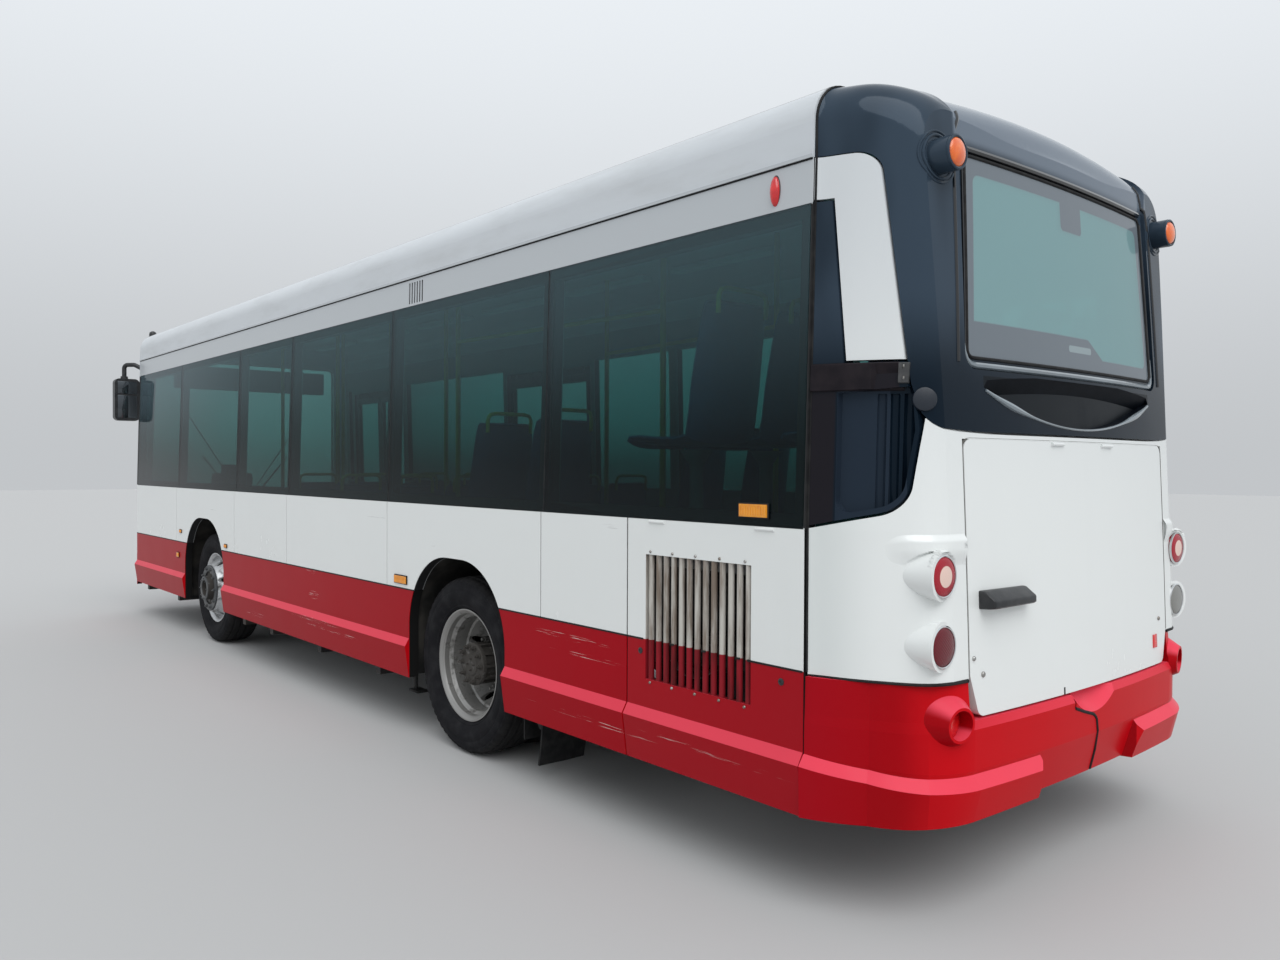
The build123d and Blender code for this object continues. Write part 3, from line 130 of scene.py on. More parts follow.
# %% Flow and Graph
class Flow:
    """One output socket of a node tree, which can be used in arithmetic."""

    def __init__(self, graph, socket):
        self.graph = graph
        self.socket = socket

    def math(self, operation, *values):
        return self.graph.node("ShaderNodeMath", {"operation": operation}, dict(enumerate(values)))

    def port(self, name):
        return Flow(self.graph, self.socket.node.outputs[name])

    def __add__(self, other):
        return self.math("ADD", self, other)

    def __radd__(self, other):
        return self.math("ADD", other, self)

    def __sub__(self, other):
        return self.math("SUBTRACT", self, other)

    def __rsub__(self, other):
        return self.math("SUBTRACT", other, self)

    def __mul__(self, other):
        return self.math("MULTIPLY", self, other)

    def __rmul__(self, other):
        return self.math("MULTIPLY", other, self)

    def __truediv__(self, other):
        return self.math("DIVIDE", self, other)

    def __pow__(self, other):
        return self.math("POWER", self, other)

    def __gt__(self, other):
        return self.math("GREATER_THAN", self, other)

    def __lt__(self, other):
        return self.math("LESS_THAN", self, other)

    def __abs__(self):
        return self.math("ABSOLUTE", self)

    def root(self):
        return self.math("SQRT", self)

    def least(self, other):
        return self.math("MINIMUM", self, other)

    def most(self, other):
        return self.math("MAXIMUM", self, other)


class Graph:
    """A node tree under construction."""

    def __init__(self, tree):
        self.tree = tree

    def node(self, kind, settings=None, values=None, out=0):
        made = self.tree.nodes.new(kind)
        for name, value in (settings or {}).items():
            if name == "stops":
                self.set_stops(made.color_ramp, value)
            else:
                setattr(made, name, value)
        for key, value in (values or {}).items():
            if isinstance(value, Flow):
                self.tree.links.new(value.socket, made.inputs[key])
            else:
                made.inputs[key].default_value = value
        return Flow(self, made.outputs[out]) if len(made.outputs) else None

    def set_stops(self, ramp, stops):
        while len(ramp.elements) < len(stops):
            ramp.elements.new(0.5)
        for element, (position, colour) in zip(ramp.elements, stops):
            element.position = position
            element.color = colour

    def place(self):
        """Where a point is on the bus, in metres."""
        return self.node("ShaderNodeTexCoord", out="Object")

    def axes(self):
        split = self.node("ShaderNodeSeparateXYZ", {}, {0: self.place()})
        return split.port("X"), split.port("Y"), split.port("Z")

    def backward(self):
        """How much a face looks to the rear: 1 for one that faces straight back."""
        normal = self.node("ShaderNodeNewGeometry", out="Normal")
        return self.node("ShaderNodeSeparateXYZ", {}, {0: normal}).port("X") * -1

    def upward(self):
        """How much a face looks up: 1 for a floor, 0 for a wall."""
        normal = self.node("ShaderNodeNewGeometry", out="Normal")
        return self.node("ShaderNodeSeparateXYZ", {}, {0: normal}).port("Z")

    def stretched(self, x, y, z):
        return self.node("ShaderNodeVectorMath", {"operation": "MULTIPLY"},
                         {0: self.place(), 1: (x, y, z)})

    def noise(self, where, scale, detail=3.0, rough=0.5):
        return self.node("ShaderNodeTexNoise", {},
                         {"Vector": where, "Scale": scale, "Detail": detail, "Roughness": rough})

    def ease(self, value, low, high):
        """0 below low, 1 above high and smooth between."""
        return self.node("ShaderNodeMapRange", {"interpolation_type": "SMOOTHSTEP"},
                         {0: value, 1: low, 2: high})

    def blend(self, mask, first, second):
        return self.node("ShaderNodeMix", {"data_type": "RGBA"}, {0: mask, 6: first, 7: second}, out=2)

    def bump(self, height, strength, distance, onto=None):
        values = {"Height": height, "Strength": strength, "Distance": distance}
        if onto is not None:
            values["Normal"] = onto
        return self.node("ShaderNodeBump", {}, values)


def finish_of(name, recipe):
    """A material whose recipe gives the sockets of one Principled shader."""
    made = bpy.data.materials.new(name)
    made.use_nodes = True
    made.node_tree.nodes.clear()
    graph = Graph(made.node_tree)
    surface = graph.node("ShaderNodeBsdfPrincipled", {}, recipe(graph))
    graph.node("ShaderNodeOutputMaterial", {}, {"Surface": surface})
    return made


def rgb(red, green, blue):
    return (red, green, blue, 1.0)


# %% [markdown]
# ## Paint
#
# The panels are white above the stripe line and red below. Real fleet paint is never even: road film gathers
# low down, rain leaves faint streaks below the windows, and wheels throw dust on the sills. Painted shade
# greys the white high on the side and where the tail turns into it, and painted highlights lighten the red
# on faces that look up or back.
# The inner side of a wall isn't painted but trimmed in grey, and behind the glass the frame is black.
# Painted images could carry all this. Noise steered by height is used, because it follows any panel.

# %% White and red paint
def road_film(g, z, amount):
    """Dust that thickens towards the road, broken up by rain streaks."""
    streaks = g.noise(g.stretched(5, 5, 0.8), 2.4, 4.0, 0.6)
    clouds = g.noise(g.stretched(1, 1, 1.6), 2.2, 5.0, 0.6)
    low = 1 - g.ease(z, 0.35, 1.5)
    return (low * 0.6 + 0.25) * g.ease(streaks * 0.3 + clouds * 0.7, 0.30, 0.75) * amount


def wall_depth(y, z):
    """How far a point lies inside the side's outer face, which leans in above the sill."""
    lean = (z - SILL).most(0.0) * (GLASS_LEAN / (GLASS_TOP - SILL))
    return HALF - lean.least(DRIP_LEAN) - abs(y)


WHITE_SCUFFS = (
    (2.35, 1.085, 0.10, 0.010, 0.0), (2.62, 1.10, 0.05, 0.012, 0.02), (1.05, 1.28, 0.09, 0.012, 0.0),
    (3.3, 1.22, 0.16, 0.007, 0.01), (6.4, 1.15, 0.12, 0.008, -0.01),
)
FLEET_WHITE, WHITE_DUST = rgb(0.78, 0.80, 0.79), rgb(0.42, 0.40, 0.36)
RED_DUST = rgb(0.17, 0.035, 0.03)
# The pale red given to faces that look up is a painted highlight.
PAINTED_HIGHLIGHT_RED, CUT_EDGE = rgb(0.85, 0.072, 0.115), rgb(0.012, 0.012, 0.012)


def white_panels(g):
    x, y, z = g.axes()
    film = road_film(g, z, 0.06)
    paint = g.blend(film, FLEET_WHITE, WHITE_DUST)
    # Painted shade: the white turns greyer from the sill up to the roof joint, and darker again above the
    # glass on the flat side.
    paint = g.blend(g.ease(z, SILL, DRIP) * 0.7, paint, rgb(0.53, 0.56, 0.59))
    paint = g.blend((z > GLASS_TOP - 0.01) * (x > SEAM) * 0.5, paint, rgb(0.36, 0.39, 0.42))
    scuff = scratches(g, WHITE_SCUFFS) * (y > 0.5)
    paint = g.blend(scuff * 0.6, paint, rgb(0.30, 0.30, 0.30))
    # Painted shade: the white is greyer where the tail turns into the side, below 1.72 m.
    painted_corner_shade = g.ease(x, SEAM - 0.26, SEAM - 0.03) * (x < SEAM) * (z < 1.72)
    paint = g.blend(painted_corner_shade * 0.55, paint, rgb(0.58, 0.62, 0.61))
    flat_side = (x > SEAM - 0.001) * (x < SIDE_END + 0.001)
    depth = wall_depth(y, z)
    glass_band = (z > SILL + 0.002) * (z < GLASS_TOP - 0.002)
    edge = (depth > 0.003).most(glass_band) * flat_side
    paint = g.blend(edge, paint, rgb(0.008, 0.009, 0.01))
    inside = (depth > 0.056) * flat_side
    paint = g.blend(inside, paint, rgb(0.30, 0.31, 0.32))
    waves = g.noise(g.stretched(1, 1, 1), 1.3, 1.0)
    skin = g.noise(g.stretched(1, 1, 1), 320.0, 1.0)
    rough = 0.26 + film * 0.5 + edge * 0.3
    return {"Base Color": paint, "Roughness": rough, "Coat Weight": 0.3 - edge * 0.3,
            "Coat Roughness": 0.12, "Normal": g.bump(waves, 0.10, 0.05, g.bump(skin, 0.012, 0.001))}


def scratches(g, spots):
    """Long shallow scrapes near the listed places: x, z, half length, half height and tilt."""
    x, z = g.axes()[::2]
    grain = g.noise(g.stretched(5, 5, 330), 1.0, 2.0, 0.6)
    mask = None
    for at_x, at_z, half, tall, tilt in spots:
        along = (x - (SEAM + at_x)) / half
        up = (z - at_z - (x - (SEAM + at_x)) * tilt) / tall
        near = g.ease(1 - (along * along + up * up), 0.0, 0.6)
        mask = near if mask is None else mask.most(near)
    return mask * g.ease(grain, 0.60, 0.66)


SKIRT_SCRAPES = (
    (1.35, 0.765, 0.34, 0.016, 0.01), (1.25, 0.70, 0.30, 0.012, 0.01), (1.2, 0.43, 0.50, 0.012, 0.01),
    (0.45, 0.455, 0.45, 0.014, 0.02), (4.3, 0.815, 0.10, 0.018, 0.0), (4.25, 0.66, 0.10, 0.030, 0.02),
    (4.2, 0.50, 0.45, 0.018, 0.0), (3.9, 0.46, 0.5, 0.012, 0.0), (5.35, 0.40, 0.22, 0.02, -0.04),
)


def red_panels(g):
    x, y, z = g.axes()
    film = road_film(g, z, 0.06)
    fade = g.ease(x, SEAM - 0.30, SEAM + 0.02)
    bright = g.blend(fade, rgb(0.35, 0.001, 0.005), rgb(0.36, 0.003, 0.010))
    # Painted light: faces that look straight back are a lighter red, and faces that look up turn pale as a
    # painted highlight.
    bright = g.blend(g.ease(g.backward(), 0.55, 0.98), bright, rgb(0.56, 0.003, 0.008))
    bright = g.blend(g.ease(g.upward(), 0.22, 0.60) * 0.9, bright, PAINTED_HIGHLIGHT_RED)
    paint = g.blend(film, bright, RED_DUST)
    scraped = scratches(g, SKIRT_SCRAPES) * (y > 0.5)
    paint = g.blend(scraped * 0.85, paint, rgb(0.70, 0.56, 0.54))
    flat_side = (x > SEAM - 0.001) * (x < SIDE_END + 0.001)
    edge = (abs(y) < HALF - 0.003) * flat_side
    paint = g.blend(edge, paint, CUT_EDGE)
    waves = g.noise(g.stretched(1, 1, 1), 1.6, 1.0)
    return {"Base Color": paint, "Roughness": 0.30 + film * 0.6 + scraped * 0.3,
            "Specular IOR Level": 0.05, "Coat Weight": 0.05 - edge * 0.05, "Coat Roughness": 0.08,
            "Normal": g.bump(waves, 0.10, 0.05)}


def flap_paint(g):
    """The engine flap crosses the stripe; its slats are stained by hot air and dust, and its red has a
    painted highlight on faces that look up.
    """
    x, y, z = g.axes()
    film = road_film(g, z, 0.12)
    white = g.blend(film, FLEET_WHITE, WHITE_DUST)
    # Painted highlight: faces that look up are a paler red.
    red_with_painted_highlight = g.blend(g.ease(g.upward(), 0.22, 0.60) * 0.9, rgb(0.36, 0.003, 0.010), PAINTED_HIGHLIGHT_RED)
    red = g.blend(film * 0.5, red_with_painted_highlight, RED_DUST)
    across_grille = (x > SEAM + GRILLE_X[0] - 0.010) * (x < SEAM + GRILLE_X[1] + 0.010)
    slats = across_grille * (z > GRILLE_LOW - 0.015) * (z < GRILLE_HIGH + 0.015) * (y < HALF - 0.0015)
    dust = g.noise(g.stretched(22, 22, 2.4), 1.0, 5.0, 0.65)
    grey = g.blend(g.ease(dust, 0.38, 0.66), rgb(0.52, 0.50, 0.46), rgb(0.20, 0.16, 0.13))
    stained = g.blend(g.ease(dust, 0.40, 0.70), rgb(0.26, 0.012, 0.02), rgb(0.07, 0.012, 0.012))
    white = g.blend(slats, white, grey)
    red = g.blend(slats, red, stained)
    scraped = scratches(g, SKIRT_SCRAPES)
    red = g.blend(scraped * 0.7, red, rgb(0.62, 0.45, 0.43))
    paint = g.blend(z > STRIPE, red, white)
    edge = ((y < HALF - 0.003) * (1 - slats)).most(y < HALF - 0.024)
    paint = g.blend(edge, paint, CUT_EDGE)
    return {"Base Color": paint, "Roughness": 0.32 + film * 0.4 + slats * 0.3,
            "Specular IOR Level": 0.10, "Coat Weight": 0.05, "Coat Roughness": 0.1}


def roof_paint(g):
    y, z = g.axes()[1:]
    film = g.ease(g.noise(g.stretched(0.8, 3.5, 3.5), 2.0, 5.0, 0.62), 0.40, 0.75)
    # Painted shade: the roof's white is a greyer tone than the side's. Grey road film is mixed in by noise.
    paint = g.blend(film * 0.22, rgb(0.60, 0.63, 0.66), rgb(0.36, 0.36, 0.35))
    inside = (z < CROWN - 0.058) * (abs(y) < HALF - 0.098)
    paint = g.blend(inside, paint, rgb(0.42, 0.43, 0.44))
    return {"Base Color": paint, "Roughness": 0.34 + film * 0.2, "Coat Weight": 0.2,
            "Coat Roughness": 0.15, "Normal": g.bump(g.noise(g.place(), 1.1, 1.0), 0.08, 0.04)}


def black_mask(g):
    """The tail's moulded mask: deep blue-black gloss with faint wiping marks, made paler higher up and above
    the window by painted sky reflection, and darkened in the scoop by painted shade.
    """
    wipe = g.noise(g.stretched(3, 3, 12), 2.0, 4.0, 0.6)
    dusty = g.ease(g.noise(g.stretched(2, 2, 1), 1.5, 5.0, 0.6), 0.5, 0.8)
    tone = g.blend(dusty * 0.3, rgb(0.004, 0.009, 0.016), rgb(0.012, 0.018, 0.027))
    x, y, z = g.axes()
    # Painted sky reflection: a paler blue-grey over patches of the mask from 1.8 m up.
    painted_sky_reflection = g.ease(z, 1.80, 2.15) * g.ease(g.noise(g.stretched(2, 2, 0.6), 1.7, 2.0), 0.25, 0.55)
    tone = g.blend(painted_sky_reflection * 0.75, tone, rgb(0.044, 0.066, 0.094))
    # Painted sky reflection: a pale blue-grey band above the rear window.
    painted_brow_reflection = g.ease(z, CROWN - 0.285, CROWN - 0.24) * g.ease(abs(y), 0.775, 0.755)
    tone = g.blend(painted_brow_reflection, tone, rgb(0.135, 0.165, 0.205))
    beside_vent = (x > SEAM - 0.264) * (abs(y) > 0.90) * (z > 1.789) * (z < 1.886)
    upright_band = g.ease(x, SEAM - 0.088, SEAM - 0.076) * (z < 1.80)
    tone = g.blend(beside_vent.most(upright_band), tone, rgb(0.013, 0.010, 0.012))
    slatted = (x < SEAM - 0.088) * (abs(y) > 1.0) * (z < 1.789)
    tone = g.blend(slatted, tone, rgb(0.016, 0.024, 0.037))
    # Painted shade: inside the scoop, above its lip, the mask is nearly black, rougher and without coat.
    reach = (SMILE_R * SMILE_R - y * y).most(0.0).root()
    above_lip = g.ease(z - (SMILE_LOW + SMILE_R - reach), -0.001, 0.004)
    inside = above_lip * (z < SCOOP_TOP - 0.01) * (abs(y) < SMILE_HALF)
    tone = g.blend(inside * 0.9, tone, rgb(0.002, 0.003, 0.004))
    return {"Base Color": tone, "Roughness": 0.10 + dusty * 0.12 + wipe * 0.04 + inside * 0.25,
            "Specular IOR Level": 0.17, "Specular Tint": rgb(0.62, 0.80, 1.0),
            "Coat Weight": g.ease(z, 1.70, 1.95) * 0.10 * (1 - inside), "Coat Roughness": 0.03,
            "Normal": g.bump(g.noise(g.place(), 1.8, 1.0), 0.08, 0.04)}


WHITE = finish_of("white_fleet_paint", white_panels)
RED = finish_of("red_stripe_paint", red_panels)
FLAP = finish_of("engine_flap_paint", flap_paint)
ROOF = finish_of("roof_paint", roof_paint)
MASK = finish_of("black_mask_gloss", black_mask)

# %% [markdown]
# ## Glass
#
# Bus glass is tinted, so it darkens what is behind it rather than colouring it. A Mix Shader between a
# tinted Transparent shader and a glossy Principled one lets the lamps reach the cabin, which real
# refraction would keep dark. The rear pane has a printed grey border with a notch for the third brake
# lamp, drawn here as a distance from rounded rectangles.

# %% Side glass and clear glass
def glazing(name, tint, sheet, cover):
    """Glass of a tint; sheet is the glossy part's colour and cover how much of it shows."""
    made = bpy.data.materials.new(name)
    made.use_nodes = True
    made.node_tree.nodes.clear()
    g = Graph(made.node_tree)
    ripple = g.noise(g.stretched(1, 1, 1), 0.9, 1.0)
    colour = sheet(g) if callable(sheet) else sheet
    gloss = g.node("ShaderNodeBsdfPrincipled", {},
                   {"Base Color": colour, "Roughness": 0.03, "Specular IOR Level": 0.27,
                    "Normal": g.bump(ripple, 0.06, 0.04)})
    clear = g.node("ShaderNodeBsdfTransparent", {}, {"Color": tint})
    amount = cover(g) if callable(cover) else cover
    both = g.node("ShaderNodeMixShader", {}, {0: amount, 1: clear, 2: gloss})
    g.node("ShaderNodeOutputMaterial", {}, {"Surface": both})
    return made


def rounded_rectangle(across, up, half_low, half_high, low, high, radius):
    """Signed distance, in metres, from a rectangle whose half width changes from low to high."""
    centre = (low + high) / 2
    tall = (high - low) / 2
    lean = (half_high - half_low) / (high - low)
    half = half_low + (up - low) * lean
    dx = abs(across) - half + radius
    dz = abs(up - centre) - tall + radius
    corner = (dx.most(0.0) ** 2 + dz.most(0.0) ** 2).root()
    return corner + dx.most(dz).least(0.0) - radius


pane_low, pane_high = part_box("rear_window")
BORDER_TOP, BORDER_SIDE = 0.062, 0.042


def printed_border(g):
    """1 on the printed border of the rear pane, with its notch and its raised lower right part."""
    y, z = g.axes()[1:]
    low, high = pane_low.z, pane_high.z
    clear = rounded_rectangle(y, z, pane_high.y - BORDER_SIDE, pane_high.y - BORDER_SIDE - 0.04,
                              low + 0.055, high - BORDER_TOP, 0.03)
    notch = rounded_rectangle(y + 0.02, z, 0.085, 0.085, high - 0.17, high + 0.1, 0.02)
    slope = ((0.24 + y) * 8.0).least(1.0).most(0.0) * 0.075
    shut = clear.most(0 - notch).most(low + 0.055 + slope - z)
    return g.ease(shut, -0.004, 0.004)


def rear_cover(g):
    return 0.66 + printed_border(g) * 0.33


def rear_sheet(g):
    y, z = g.axes()[1:]
    slot = rounded_rectangle(y + 0.045, z, 0.092, 0.092, pane_low.z + 0.070, pane_low.z + 0.096, 0.010)
    print_tone = g.blend(g.ease(slot, 0.002, -0.002), rgb(0.155, 0.180, 0.205), rgb(0.27, 0.33, 0.35))
    return g.blend(printed_border(g), rgb(0.29, 0.46, 0.48), print_tone)


def side_sheet(g):
    """The dark glass is a little greyer towards its top: a painted reflection of the sky."""
    z = g.axes()[2]
    return g.blend(g.ease(z, SILL + 0.2, GLASS_TOP), rgb(0.002, 0.004, 0.006), rgb(0.115, 0.158, 0.185))


def side_cover(g):
    """More of the cabin is lost low down and at the front, where the glass lies in shade."""
    x, z = g.axes()[::2]
    low = 1 - g.ease(z, SILL, SILL + 0.55)
    return 0.34 + low * 0.22 + g.ease(x, SEAM + 5.0, SEAM + 8.4) * 0.24


SIDE_GLASS = glazing("dark_side_glass", rgb(0.48, 0.81, 0.79), side_sheet, side_cover)
REAR_GLASS = glazing("rear_glass_with_border", rgb(0.55, 0.78, 0.75), rear_sheet, rear_cover)
CLEAR_GLASS = glazing("clear_glass", rgb(0.80, 0.90, 0.88), rgb(0.02, 0.025, 0.025), 0.22)
DOOR_GLASS = glazing("door_glass", rgb(0.52, 0.78, 0.76), rgb(0.004, 0.007, 0.008), 0.30)

# %% [markdown]
# ## Rubber, plastic, metal and lenses
#
# Tyres are matt, dusty where they meet the road and finely ringed on the wall. The rims are zinc grey
# with brown dust baked in round the nuts. Lenses are coloured plastic with a fine moulded pattern.

# %% Tyres and rims
def from_axis(g, centre_x):
    """Distance from a wheel's axis."""
    x, z = g.axes()[::2]
    dx, dz = x - centre_x, z - TYRE_R
    return (dx * dx + dz * dz).root()


def tyre_rubber(centre_x):
    def recipe(g):
        radius = from_axis(g, centre_x)
        dust = g.noise(g.place(), 9.0, 5.0, 0.65)
        tread = g.ease(radius, 0.435, 0.465)
        tone = g.blend(g.ease(dust, 0.4, 0.7), rgb(0.008, 0.008, 0.010), rgb(0.020, 0.020, 0.022))
        tone = g.blend(tread * 0.3, tone, rgb(0.035, 0.033, 0.030))
        rings = (radius * 900.0).math("SINE", radius * 900.0) * g.ease(radius, 0.33, 0.35)
        return {"Base Color": tone, "Roughness": 0.78 + dust * 0.15, "Specular IOR Level": 0.16,
                "Normal": g.bump(rings * (1 - tread), 0.25, 0.0015)}
    return recipe


def rim_zinc(centre_x):
    def recipe(g):
        radius = from_axis(g, centre_x)
        dust = g.noise(g.place(), 14.0, 6.0, 0.68)
        hub = 1 - g.ease(radius, 0.09, 0.19)
        edge = g.ease(radius, 0.255, 0.29)
        brown = g.ease(dust + hub * 0.25 - edge * 0.16, 0.44, 0.70)
        tone = g.blend(brown, rgb(0.30, 0.295, 0.285) if centre_x == REAR_X else rgb(0.58, 0.59, 0.60),
                       rgb(0.050, 0.045, 0.040))
        return {"Base Color": tone, "Metallic": 0.55 - brown * 0.45, "Roughness": 0.42 + brown * 0.4,
                "Normal": g.bump(dust, 0.12, 0.004)}
    return recipe


TYRE = {"rear": finish_of("rear_tyre_rubber", tyre_rubber(REAR_X)),
        "front": finish_of("front_tyre_rubber", tyre_rubber(FRONT_X))}
RIM = {"rear": finish_of("rear_rim_zinc", rim_zinc(REAR_X)),
       "front": finish_of("front_rim_zinc", rim_zinc(FRONT_X))}


# %% Plain finishes with their own grain
def grained(name, tone, second, rough, scale, metal=0.0, coat=0.0, bump=0.1, deep=0.001, shine=0.5):
    """A finish of two tones mixed by noise, as moulded plastic, cast iron and worn steel are."""
    def recipe(g):
        grain = g.noise(g.place(), scale, 5.0, 0.6)
        patch = g.noise(g.place(), scale * 0.08, 3.0, 0.55)
        tone_now = g.blend(g.ease(patch, 0.35, 0.7), tone, second)
        return {"Base Color": tone_now, "Roughness": rough + (grain - 0.5) * 0.18, "Metallic": metal,
                "Coat Weight": coat, "Specular IOR Level": shine, "Normal": g.bump(grain, bump, deep)}
    return finish_of(name, recipe)


RUBBER = grained("seal_rubber", rgb(0.010, 0.010, 0.011), rgb(0.022, 0.022, 0.022), 0.62, 240, shine=0.2)
BLACK = grained("black_plastic", rgb(0.012, 0.013, 0.015), rgb(0.03, 0.03, 0.032), 0.38, 260)
LINER = grained("wheel_house_liner", rgb(0.014, 0.014, 0.014), rgb(0.05, 0.047, 0.042), 0.85, 60,
                bump=0.3, deep=0.003, shine=0.15)
STEEL = grained("chassis_steel", rgb(0.022, 0.022, 0.024), rgb(0.06, 0.052, 0.045), 0.6, 70, metal=0.2,
                bump=0.25, deep=0.002, shine=0.3)
IRON = grained("engine_iron", rgb(0.05, 0.052, 0.055), rgb(0.10, 0.085, 0.07), 0.7, 90, metal=0.4,
               bump=0.3, deep=0.003)
ZINC = grained("zinc_bolts", rgb(0.42, 0.42, 0.41), rgb(0.20, 0.17, 0.14), 0.4, 160, metal=0.8)
CHROME = grained("bright_metal", rgb(0.75, 0.76, 0.77), rgb(0.6, 0.6, 0.6), 0.12, 60, metal=1.0,
                 bump=0.02)
FLOOR_VINYL = grained("floor_vinyl", rgb(0.10, 0.105, 0.11), rgb(0.15, 0.15, 0.15), 0.7, 300)
DASH = grained("dash_plastic", rgb(0.035, 0.036, 0.038), rgb(0.06, 0.06, 0.062), 0.55, 420, bump=0.3)
YELLOW = grained("pole_yellow", rgb(0.70, 0.42, 0.02), rgb(0.78, 0.5, 0.04), 0.3, 200, coat=0.5)
SHELL_BLUE = grained("seat_shell_blue", rgb(0.03, 0.08, 0.20), rgb(0.04, 0.10, 0.24), 0.35, 350)
TRIM_GREY = grained("cabin_trim_grey", rgb(0.28, 0.29, 0.30), rgb(0.33, 0.34, 0.35), 0.6, 300)


def lens_of(tone, deep):
    """Moulded lens: a grid of small prisms under a smooth coat."""
    def recipe(g):
        y, z = g.axes()[1:]
        waves = (y * 700.0).math("SINE", y * 700.0) * (z * 700.0).math("SINE", z * 700.0)
        rim = g.noise(g.place(), 30.0, 3.0)
        return {"Base Color": g.blend(g.ease(rim, 0.35, 0.7), tone, deep), "Roughness": 0.22,
                "Coat Weight": 0.8, "Coat Roughness": 0.03, "Normal": g.bump(waves, 0.25, 0.001)}
    return recipe


AMBER = finish_of("amber_lens", lens_of(rgb(0.90, 0.17, 0.012), rgb(0.75, 0.11, 0.008)))
YELLOW_AMBER = finish_of("marker_amber_lens", lens_of(rgb(0.86, 0.34, 0.012), rgb(0.74, 0.26, 0.010)))
LAMP_GLASS = grained("headlamp_glass", rgb(0.16, 0.17, 0.18), rgb(0.34, 0.35, 0.37), 0.14, 18,
                     metal=0.7, coat=1.0, bump=0.02)


def tail_lenses(g):
    """Upper lamps are a red ring round a pale middle, lower ones dark red and smoke grey."""
    y, z = g.axes()[1:]
    dy = abs(y) - LAMP_Y
    up, down = (z - height for height in LAMP_HEIGHTS)
    radius_up = (dy * dy + up * up).root()
    radius_down = (dy * dy + down * down).root()
    radius = radius_up.least(radius_down)
    dots = (y * 520.0).math("SINE", y * 520.0) * (z * 520.0).math("SINE", z * 520.0)
    ring = g.blend(g.ease(radius, 0.034, 0.037), rgb(0.80, 0.58, 0.50), rgb(0.36, 0.004, 0.018))
    red = g.blend(g.ease(dots, -0.2, 0.6), rgb(0.10, 0.002, 0.008), rgb(0.17, 0.004, 0.012))
    smoke = g.blend(g.ease(dots, -0.2, 0.6), rgb(0.16, 0.16, 0.15), rgb(0.30, 0.30, 0.28))
    lower = g.blend(y < 0.0, red, smoke)
    tone = g.blend(z > 1.06, lower, ring)
    return {"Base Color": tone, "Roughness": 0.22, "Specular IOR Level": 0.3, "Coat Weight": 0.35,
            "Coat Roughness": 0.03, "Normal": g.bump(dots, 0.3, 0.0012)}


TAIL_LENS = finish_of("tail_lamp_lenses", tail_lenses)

# %% [markdown]
# ## Paint the CAD
#
# Each CAD node keeps its mesh and its own shading, and gets its finish. A table of names and finishes is
# easier to read and to change than one block of code for each panel.

# %% Finishes on the CAD nodes
CAD_FINISH = {
    "side_wall_left": WHITE, "side_wall_right": WHITE, "roof": ROOF, "roof_hatches": ROOF,
    "rear_side_panels": WHITE, "rear_hatch": WHITE, "front_panel": WHITE, "skirts": RED,
    "rear_bumper": RED, "front_bumper": RED, "engine_flap": FLAP, "rear_mask": MASK,
    "rear_vents": MASK, "hatch_bar": BLACK, "side_glass": SIDE_GLASS, "rear_window": REAR_GLASS,
    "windscreen": CLEAR_GLASS, "wheel_houses": LINER, "mud_flaps": RUBBER, "frame_rails": STEEL,
    "cross_members": STEEL, "engine_cradles": STEEL, "front_axle": STEEL, "rear_axle": STEEL,
    "knuckle_left": STEEL, "knuckle_right": STEEL, "engine": IRON, "floor": FLOOR_VINYL,
    "dashboard": DASH, "driver_seat": DASH, "seats": SHELL_BLUE, "hand_poles": YELLOW,
    "ceiling_rails": YELLOW, "mirrors": BLACK, "headlamps": LAMP_GLASS, "amber_lamps": YELLOW_AMBER,
    "rear_lamps": TAIL_LENS,
}
for side in ("left", "right"):
    for end in ("front", "rear"):
        CAD_FINISH[f"{end}_wheel_{side}"] = RIM[end]
for name, node in nodes.items():
    finish = CAD_FINISH.get(name)
    if name.startswith("door_"):
        finish = STEEL if name.endswith("arm") else BLACK
    if finish is None:
        continue
    node.data.materials.clear()
    node.data.materials.append(finish)
    for polygon in node.data.polygons:
        polygon.material_index = 0

# %% [markdown]
# Door leaves hold their pane as a second solid. The pane is the part whose faces lie in the middle of
# the leaf's thickness, so its faces are found by their place and given glass.

# %% Glass in the door leaves
for name, node in nodes.items():
    if not name.endswith("_leaf"):
        continue
    low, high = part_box(name)
    node.data.materials.append(DOOR_GLASS)
    panes = 0
    for polygon in node.data.polygons:
        centre = polygon.center
        lean = GLASS_LEAN * max(0.0, centre.z - SILL) / (GLASS_TOP - SILL)
        depth = centre.y + HALF - lean
        inside = low.x + 0.05 < centre.x < high.x - 0.05 and low.z + 0.22 < centre.z < high.z - 0.05
        if inside and abs(polygon.normal.y) > 0.9 and 0.008 < depth < 0.018:
            polygon.material_index = 1
            panes += 1
    print(name, panes, "glass faces")


# %% [markdown]
# ## Mesh helpers
#
# Most trim is a row of rings joined by faces, so one helper makes that skin, and others draw a tube along
# points or a box with eased edges. What is the same on both sides is drawn once, and way, which is 1 on
# the left and -1 on the right, mirrors it. Modelling by hand would do as well, but a form made from
# numbers follows the CAD when a size changes. Each piece is joined to the body that carries it.

# %% Pieces, skins, boxes and tubes
def add_piece(name, mesh, finish, body, smooth=35):
    """Put a mesh in the scene with its finish, on the body that carries it."""
    made = bpy.data.objects.new(name, mesh)
    bpy.context.scene.collection.objects.link(made)
    mesh.materials.clear()
    mesh.materials.append(finish)
    if smooth:
        mesh.shade_smooth()
        mesh.set_sharp_from_angle(angle=math.radians(smooth))
    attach(made, body)
    return made


